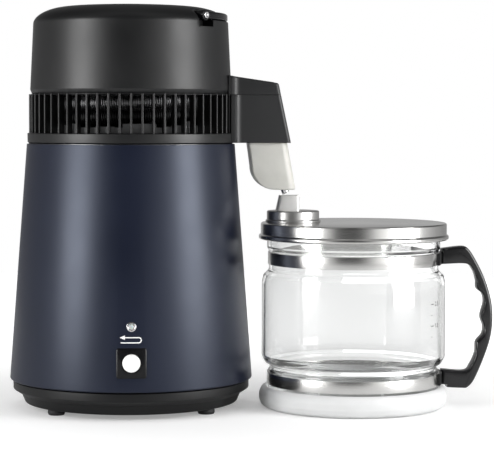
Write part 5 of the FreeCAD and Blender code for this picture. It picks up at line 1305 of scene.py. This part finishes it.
SCALE_AT = 53.5
marks = []
for litres, height in ((1, 81), (2, 101)):
    marks += [dash(-2.2, 0.4, height), number_mesh(f"{litres}.0", 5.6, on_jug(height, SCALE_AT + 2.4))]
marks += [dash(-4.2, 0.25, height) for height in (71, 91)]
ink = finish("ink", (0.16, 0.16, 0.163), 0.6, drift=0.1, patch=3)
piece("jug_scale", joined(*marks), "jug", "black_satin_plastic", ink)

# %% [markdown]
# The product stands on a pale floor. A finite disc is enough, because a camera ray that passes it sees the
# white world. The floor is a plain matt surface with a little light of its own for rays from the camera, and
# less for rays that come through glass, so that it reads white while the product's shadow stays. The glow grows
# with the distance, which hides the disc's edge.

# %% The floor
FLOOR_RADIUS = 1.6
floor_mesh = bmesh.new()
bmesh.ops.create_circle(floor_mesh, cap_ends=True, radius=FLOOR_RADIUS, segments=96)
floor = add_to_scene("studio_floor", floor_mesh)
floor_finish = bpy.data.materials.new("studio_floor")
floor_finish.use_nodes = True
tree = floor_finish.node_tree
shader = tree.nodes["Principled BSDF"]
shader.inputs["Roughness"].default_value = 0.7
shader.inputs["Specular IOR Level"].default_value = 0.1
floor_place = add(tree, "TexCoord").outputs["Object"]
floor_cloud = add(tree, "TexNoise", {"Vector": floor_place, "Scale": 9})
floor_tone = ramp(tree, floor_cloud, 0, 1, 0.79, 0.81)
put(tree, add(tree, "CombineColor", {channel: floor_tone for channel in range(3)}), shader.inputs["Base Color"])
away = calc(tree, "LENGTH", floor_place, kind="VectorMath").outputs["Value"]
glow = add(tree, "Emission", {"Color": (1, 1, 1, 1), "Strength": ramp(tree, away, 0.18, 0.6, 0.29, 0.63)})
both = add(tree, "AddShader", {0: shader, 1: glow})
ray = add(tree, "LightPath").outputs
seen = calc(tree, "MAXIMUM", ray["Is Camera Ray"], calc(tree, "MULTIPLY", ray["Is Transmission Ray"], 0.62))
floor_mix = add(tree, "MixShader", {"Fac": seen, 1: shader, 2: both})
put(tree, floor_mix, tree.nodes["Material Output"].inputs["Surface"])
floor.data.materials.append(floor_finish)
print("floor radius", FLOOR_RADIUS, "m")

# %% [markdown]
# The studio is a white room with a dark gap in front, where the camera stands. Steel shows the whole room, so
# it needs the dark gap to look like metal. The room is painted by the ray's direction in world space: one ramp
# goes round it, the walls fade upwards, and only the ceiling right overhead is a little brighter again. A
# picture of a real studio would need a file. Only mirror rays see this room. The camera and rays through glass
# see plain white, and matt surfaces get a soft grey.

# %% The room
world = bpy.data.worlds.new("studio")
scene.world = world
world.use_nodes = True
tree = world.node_tree
tree.nodes.clear()
ray = add(tree, "LightPath").outputs
direction = add(tree, "SeparateXYZ", {0: add(tree, "TexCoord").outputs["Generated"]}).outputs
azimuth = calc(tree, "ARCTAN2", direction["X"], calc(tree, "MULTIPLY", direction["Y"], -1))
room = add(tree, "ValToRGB", {"Fac": ramp(tree, azimuth, -math.pi, math.pi, 0, 1)})
ROOM = [
    (-180, 0.52), (-170, 0.5), (-155, 0.3), (-140, 0.3), (-120, 0.42), (-100, 0.55), (-80, 0.8), (-66, 1.2),
    (-50, 1.2), (-43, 0.78), (-34, 0.44), (-27, 0.14), (-18, 0.09), (-2, 0.09), (6, 0.2), (14, 0.45), (23, 0.9),
    (33, 1.25), (50, 1.25), (66, 1), (80, 0.8), (96, 0.6), (113, 0.42), (136, 0.3), (155, 0.3), (170, 0.5),
    (180, 0.52),
]
elements = room.color_ramp.elements
while len(elements) < len(ROOM):
    elements.new(0.5)
for element, (degrees, tone) in zip(elements, ROOM):
    element.position = (degrees + 180) / 360
    element.color = (tone, tone, tone, 1)
white = add(tree, "Background", {"Color": (1, 1, 1, 1), "Strength": 1})
soft = add(tree, "Background", {"Color": (1, 1, 1, 1), "Strength": 0.38})
walls = ramp(tree, direction["Z"], 0.1, 0.4, 1, 0.3)
ceiling = ramp(tree, direction["Z"], 0.82, 0.97, 0, 0.3)
mirror = add(tree, "Background", {"Color": room, "Strength": calc(tree, "ADD", walls, ceiling)})
seen = calc(tree, "MAXIMUM", ray["Is Camera Ray"], ray["Is Transmission Ray"])
dull = add(tree, "MixShader", {"Fac": ray["Is Glossy Ray"], 1: soft, 2: mirror})
sky = add(tree, "MixShader", {"Fac": seen, 1: dull, 2: white})
put(tree, sky, add(tree, "OutputWorld").inputs["Surface"])
print("room levels:", len(ROOM))

# %% [markdown]
# Two tall strips stand left and right in front. Dark glossy cylinders show mostly these, as two upright bands.
# A wide lamp above and two behind fill the shadows, and mirror rays pass them by, so they leave no patch on the
# steel. Each lamp's power follows from its size, so a strip can be made wider without getting brighter.

# %% The lamps
def strip(name, degrees, distance, height, size, radiance, mirrored=True):
    """A rectangular lamp that faces the machine. mirrored says whether mirror rays see it."""
    lamp = bpy.data.lights.new(name, "AREA")
    lamp.shape = "RECTANGLE"
    lamp.size, lamp.size_y = size
    lamp.energy = radiance * math.pi * size[0] * size[1]
    made = bpy.data.objects.new(name, lamp)
    out = Vector((math.sin(math.radians(degrees)), -math.cos(math.radians(degrees)), 0))
    target = MACHINE * MM + Vector((0, 0, 0.2))
    made.location = target + out * distance + Vector((0, 0, height))
    made.rotation_euler = (target - made.location).to_track_quat("-Z", "Y").to_euler()
    made.visible_glossy = mirrored
    scene.collection.objects.link(made)
    return made


strip("left_strip", -56, 1.3, 0.05, (0.6, 1.3), 7.6)
strip("right_strip", 62, 1.3, 0.05, (0.6, 1.3), 8.2)
strip("top_fill", 0, 0.5, 1.5, (1.2, 1.2), 0.8, False)
strip("back_left_strip", -150, 1.5, 0.1, (0.9, 1.2), 0.8, False)
strip("back_right_strip", 150, 1.5, 0.1, (0.9, 1.2), 0.8, False)

# %% [markdown]
# The camera stands 1.8 m in front of the distiller and 27 cm above the floor. It looks a little down and to the
# right through a long lens. A short lens from nearby would fill the frame too, but it would swell what is near.

# %% The camera and the last lines
lens_data = bpy.data.cameras.new("camera")
lens_data.lens = 138.9
lens_data.sensor_width = 36.0
lens_data.clip_end = 50.0
camera = bpy.data.objects.new("camera", lens_data)
camera.location = (MACHINE.x * MM, -1.7983, 0.2698)
camera.rotation_euler = (math.radians(90 - 3.164), math.radians(-0.12), math.radians(-3.474))
scene.collection.objects.link(camera)
scene.camera = camera
scene.view_settings.view_transform = "Standard"
